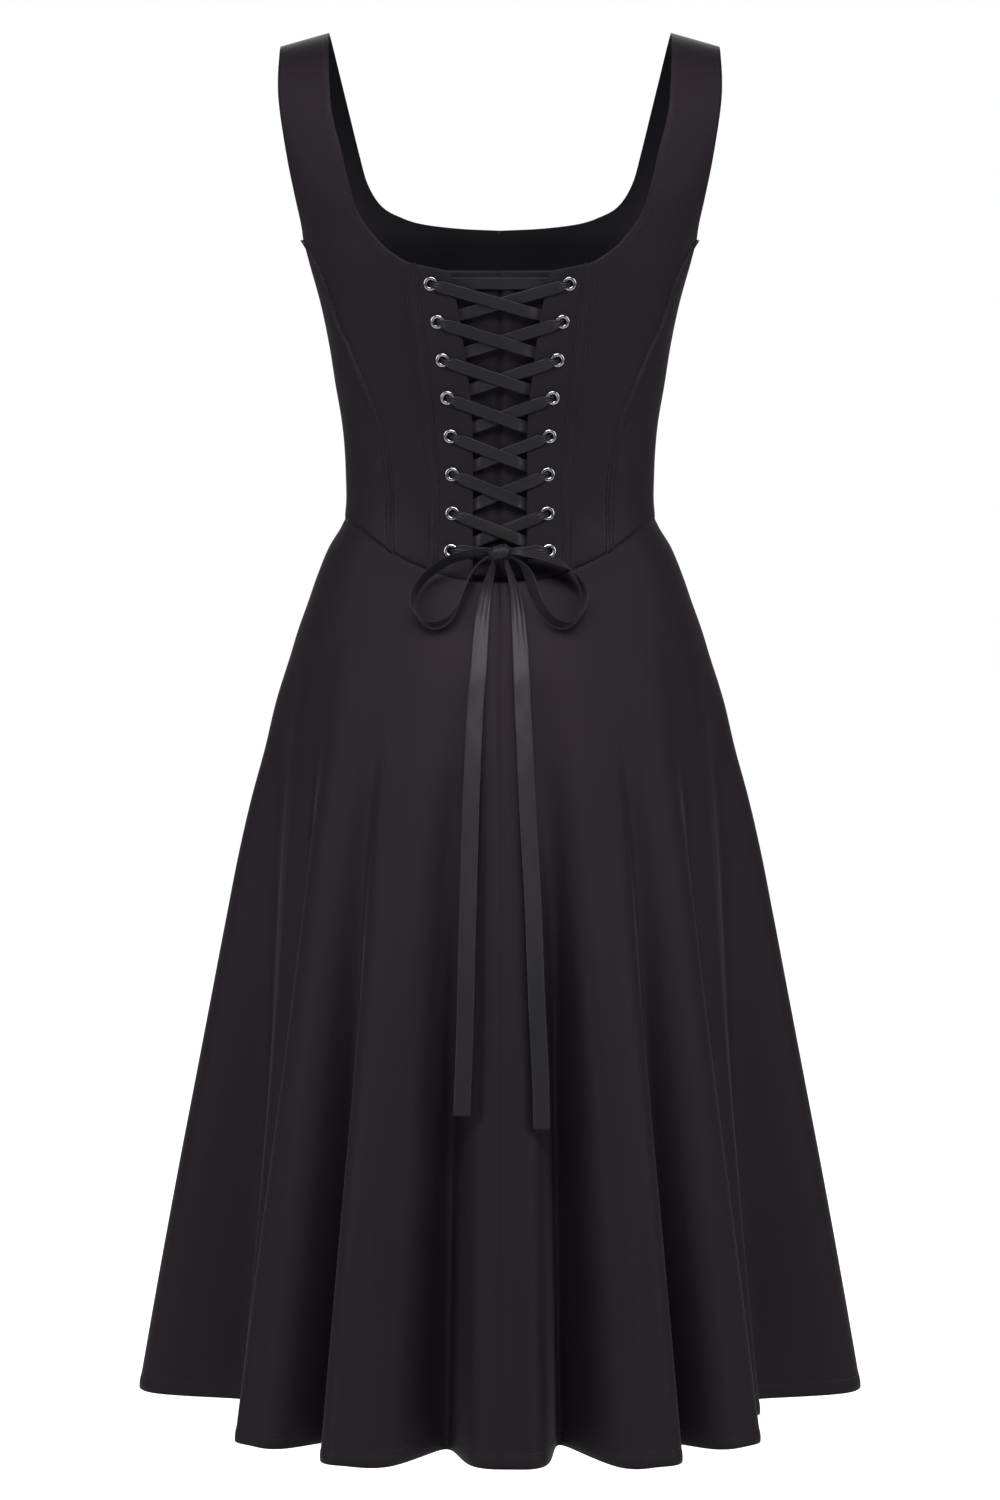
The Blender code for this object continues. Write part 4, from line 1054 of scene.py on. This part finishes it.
def lace_leg(side, row):
    """The ribbon from one eyelet, over its flap, across and behind to the next one down."""
    drop, distance = (value * MM for value in EYELETS[row])
    next_drop, next_distance = (value * MM for value in EYELETS[row + 1])
    near = smooth(FLAP_EDGE, 1, drop / MM) * MM
    far = smooth(FLAP_EDGE, 1, next_drop / MM) * MM
    over = LACE_OVER if side < 0 else LACE_UNDER
    stops = [(side * (distance - way * MM), height, share) for way, height, share in LACE_COMING_OUT]
    stops += [(side * (near + 1.5 * MM), LACE_OVER, 1), (side * near * 0.62, over, 1), (0, over, 1),
              (-side * far * 0.62, over, 1), (-side * (far - 1 * MM), LACE_BEHIND, 1)]
    stops += [(-side * (next_distance - way * MM), height, share)
              for way, height, share in LACE_GOING_IN]
    stations = []
    for x, height, share in stops:
        gone = np.clip((side * distance - x) * side / (distance + next_distance), 0, 1)
        stations.append(lace_station(x, drop + (next_drop - drop) * gone, height, share))
    return stations


def lace_half(side):
    """One end of the lacing ribbon, from the bar behind the top eyelets to the knot."""
    drop, distance = (value * MM for value in EYELETS[0])
    stations = [lace_station(side * 20 * MM, drop, BAR_SINK, 1)]
    for way, height, share in LACE_GOING_IN:
        stations.append(lace_station(side * (distance - way * MM), drop, height, share))
    for row in range(len(EYELETS) - 1):
        stations += lace_leg(side, row)
        side = -side
    drop, distance = (value * MM for value in EYELETS[-1])
    for way, height, share in LACE_COMING_OUT:
        stations.append(lace_station(side * (distance - way * MM), drop, height, share))
    for x, height, share in LACE_TO_KNOT:
        stations.append(lace_station(side * x * MM, drop + 1 * MM, height, share))
    return stations


bar = lace_station(0, EYELETS[0][0] * MM, BAR_SINK, 1)
lacing, _ = ribbon("satin_lacing", lace_half(-1)[::-1] + [bar] + lace_half(1), LACE_WIDTH)
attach(lacing, "root")
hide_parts("lacing_ribbon")

# Bow: the two ends of the ribbon, tied below the last eyelets in a bow. The knot is a short
# tight turn of ribbon, each loop springs out on its edge and droops, and the two tails hang
# down the skirt, drawn together at the knot and flat further down.
KNOT_PLACE = (0, 411.5, 9)
KNOT_HALF, KNOT_RADIUS, KNOT_TALL = 8.2 * MM, 5.0 * MM, 1.25
BOW_WIDTH = 13 * MM
# Distance from the middle, drop, height above the cloth, share of the full width, turn of the
# ribbon (0 stands on edge, 90 lies flat).
LOOP_LEFT = (
    (-8.85, 411, 9.3, 0.5, 40), (-14, 411.6, 11.5, 0.62, 38), (-25, 413.5, 13, 0.8, 32),
    (-37.5, 418, 13, 0.92, 26), (-49, 425.5, 11.5, 1, 16), (-58, 434.5, 10, 1, 8),
    (-64.6, 445, 9, 1, 2), (-66.2, 454, 8.5, 1, 0), (-63, 462, 8.3, 1, 0),
    (-56, 467.6, 8.3, 1, 0), (-48, 468.8, 8.3, 1, 2), (-40, 465, 8.3, 1, 6),
    (-34, 457.5, 8.4, 1, 10), (-29.5, 448, 8.6, 1, 14), (-26, 438, 9, 1, 16),
    (-21.5, 427.5, 9, 0.85, 14), (-16.4, 420.4, 8.6, 0.6, 10), (-12, 417, 8.2, 0.42, 8),
    (-8.5, 414.7, 8.4, 0.36, 6),
)
LOOP_RIGHT = (
    (8.85, 411, 9.3, 0.5, 40), (14, 411.6, 11.5, 0.62, 40), (24, 413.4, 13, 0.8, 38),
    (36, 416.2, 13, 0.95, 36), (48, 421.5, 12, 1, 28), (57.5, 430.5, 10.5, 1, 14),
    (63.2, 441, 9.2, 1, 4), (65, 451, 8.6, 1, 0), (62, 460.5, 8.3, 1, 0),
    (55, 467.5, 8.3, 1, 0), (46.5, 469, 8.3, 1, 2), (38, 464, 8.3, 1, 8),
    (31.5, 455.5, 8.4, 1, 14), (26.8, 445, 8.8, 1, 20), (23, 434, 9.2, 1, 24),
    (19, 425, 9.2, 0.85, 22), (15.4, 419.6, 8.6, 0.6, 16), (11.8, 416.6, 8.2, 0.42, 10),
    (8.5, 414.7, 8.4, 0.36, 6),
)
TAIL_LEFT = (
    (-4.4, 417.4, 8.4, 0.4, 20), (-5.6, 423, 7.6, 0.5, 34), (-8, 431, 6.4, 0.6, 48),
    (-10.8, 443, 4.2, 0.72, 64), (-13.2, 458, 3, 0.85, 78), (-15, 478, 2.6, 0.94, 88),
    (-16.8, 503, 2.4, 1, 90), (-18.8, 525, 2.4, 1, 90), (-20.6, 560, 2.4, 1, 90),
    (-22.2, 597, 2.4, 1, 90), (-23.4, 635, 2.4, 1, 90), (-24.4, 672, 2.4, 1, 90),
    (-25.6, 710, 2.4, 1, 90), (-26.4, 746, 2.4, 1, 90), (-27.4, 780, 2.4, 1, 90),
    (-28.6, 810, 2.4, 1, 90), (-29.6, 834, 2.4, 1, 90),
)
TAIL_RIGHT = (
    (4.6, 417.4, 8.4, 0.4, 20), (5.8, 423, 7.6, 0.5, 34), (8.4, 431, 6.4, 0.6, 48),
    (11.6, 443, 4.2, 0.72, 64), (14, 458, 3, 0.85, 78), (15.4, 478, 2.6, 0.94, 88),
    (16.6, 503, 2.4, 1, 90), (17.4, 525, 2.4, 1, 90), (19.2, 560, 2.4, 1, 90),
    (20.8, 597, 2.4, 1, 90), (23, 635, 2.4, 1, 90), (25.2, 672, 2.4, 1, 90),
    (26.8, 710, 2.4, 1, 90), (28.1, 746, 2.4, 1, 90), (29.8, 780, 2.4, 1, 90),
    (31.4, 812, 2.4, 1, 90), (32, 844, 2.4, 1, 90),
)
# node, its route, its real length, what its far end is
BOW_RIBBONS = (
    ("bow_loop_left", LOOP_LEFT, 0.186, "object"), ("bow_loop_right", LOOP_RIGHT, 0.182, "object"),
    ("bow_tail_left", TAIL_LEFT, 0.437, "bare"), ("bow_tail_right", TAIL_RIGHT, 0.447, "bare"),
)

knot_angle = angle_at(KNOT_PLACE[0] * MM, KNOT_PLACE[1] * MM)
knot_out = outward(knot_angle, KNOT_PLACE[1] * MM, False)
knot_centre = form(knot_angle, KNOT_PLACE[1] * MM, False) + knot_out * KNOT_PLACE[2] * MM
knot_up = up_the_back(knot_angle, KNOT_PLACE[1] * MM)
knot_side = np.cross(knot_up, knot_out)
along = np.linspace(-1, 1, 41)
around = np.linspace(0, 2 * math.pi, 36, endpoint=False)
pleats = 0.35 * MM * np.cos(along * 11) + 0.2 * MM * np.cos(along * 23 + 1)
bulge = KNOT_RADIUS * np.sqrt(np.clip(1 - np.abs(along) ** 2.6, 0, 1)) + pleats * (1 - along ** 4)
knot_points = (knot_centre + knot_side * (along * KNOT_HALF)[:, None, None]
               + knot_out * (bulge[:, None] * np.cos(around)[None, :])[..., None]
               + knot_up * (bulge[:, None] * KNOT_TALL * np.sin(around)[None, :])[..., None]
               + knot_up * (along * 1.4 * MM)[:, None, None])
knot_mesh = bpy.data.meshes.new("satin_knot")
count = len(around)
knot_faces = [(r * count + c, r * count + (c + 1) % count, (r + 1) * count + (c + 1) % count,
               (r + 1) * count + c) for r in range(len(along) - 1) for c in range(count)]
knot_mesh.from_pydata(knot_points.reshape(-1, 3).tolist(), [], knot_faces)
knot_places = np.stack(np.broadcast_arrays(along[:, None] * KNOT_HALF,
                                           around[None, :] * KNOT_RADIUS), axis=-1).reshape(-1, 2)
knot_layer = knot_mesh.uv_layers.new(name="cloth")
knot_layer.data.foreach_set("uv", knot_places[np.array(knot_faces).ravel()].ravel())
closed = bmesh.new()
closed.from_mesh(knot_mesh)
bmesh.ops.remove_doubles(closed, verts=closed.verts, dist=0.02 * MM)
bmesh.ops.recalc_face_normals(closed, faces=closed.faces)
closed.to_mesh(knot_mesh)
closed.free()
knot_mesh.shade_smooth()
knot_mesh.materials.append(ribbon_satin)
knot = bpy.data.objects.new("satin_knot", knot_mesh)
bpy.context.scene.collection.objects.link(knot)
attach(knot, "root")
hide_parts("bow_knot")

for node, route, length, far_end in BOW_RIBBONS:
    stations = []
    for x, drop, height, share, turn in route:
        angle = angle_at(x * MM, drop * MM)
        out = outward(angle, drop * MM, False)
        centre = form(angle, drop * MM, False) + out * height * MM
        stations.append([centre, out, share, np.radians(turn)])
    run = np.gradient(np.array([station[0] for station in stations]), axis=0)
    for station, way in zip(stations, run):
        flat = np.cross(way, station[1])
        flat /= np.linalg.norm(flat)
        station[1] = station[1] * np.cos(station[3]) + flat * np.sin(station[3])
    body, centres = ribbon("satin_" + node, [station[:3] for station in stations], BOW_WIDTH)
    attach(body, "root")
    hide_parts(node)
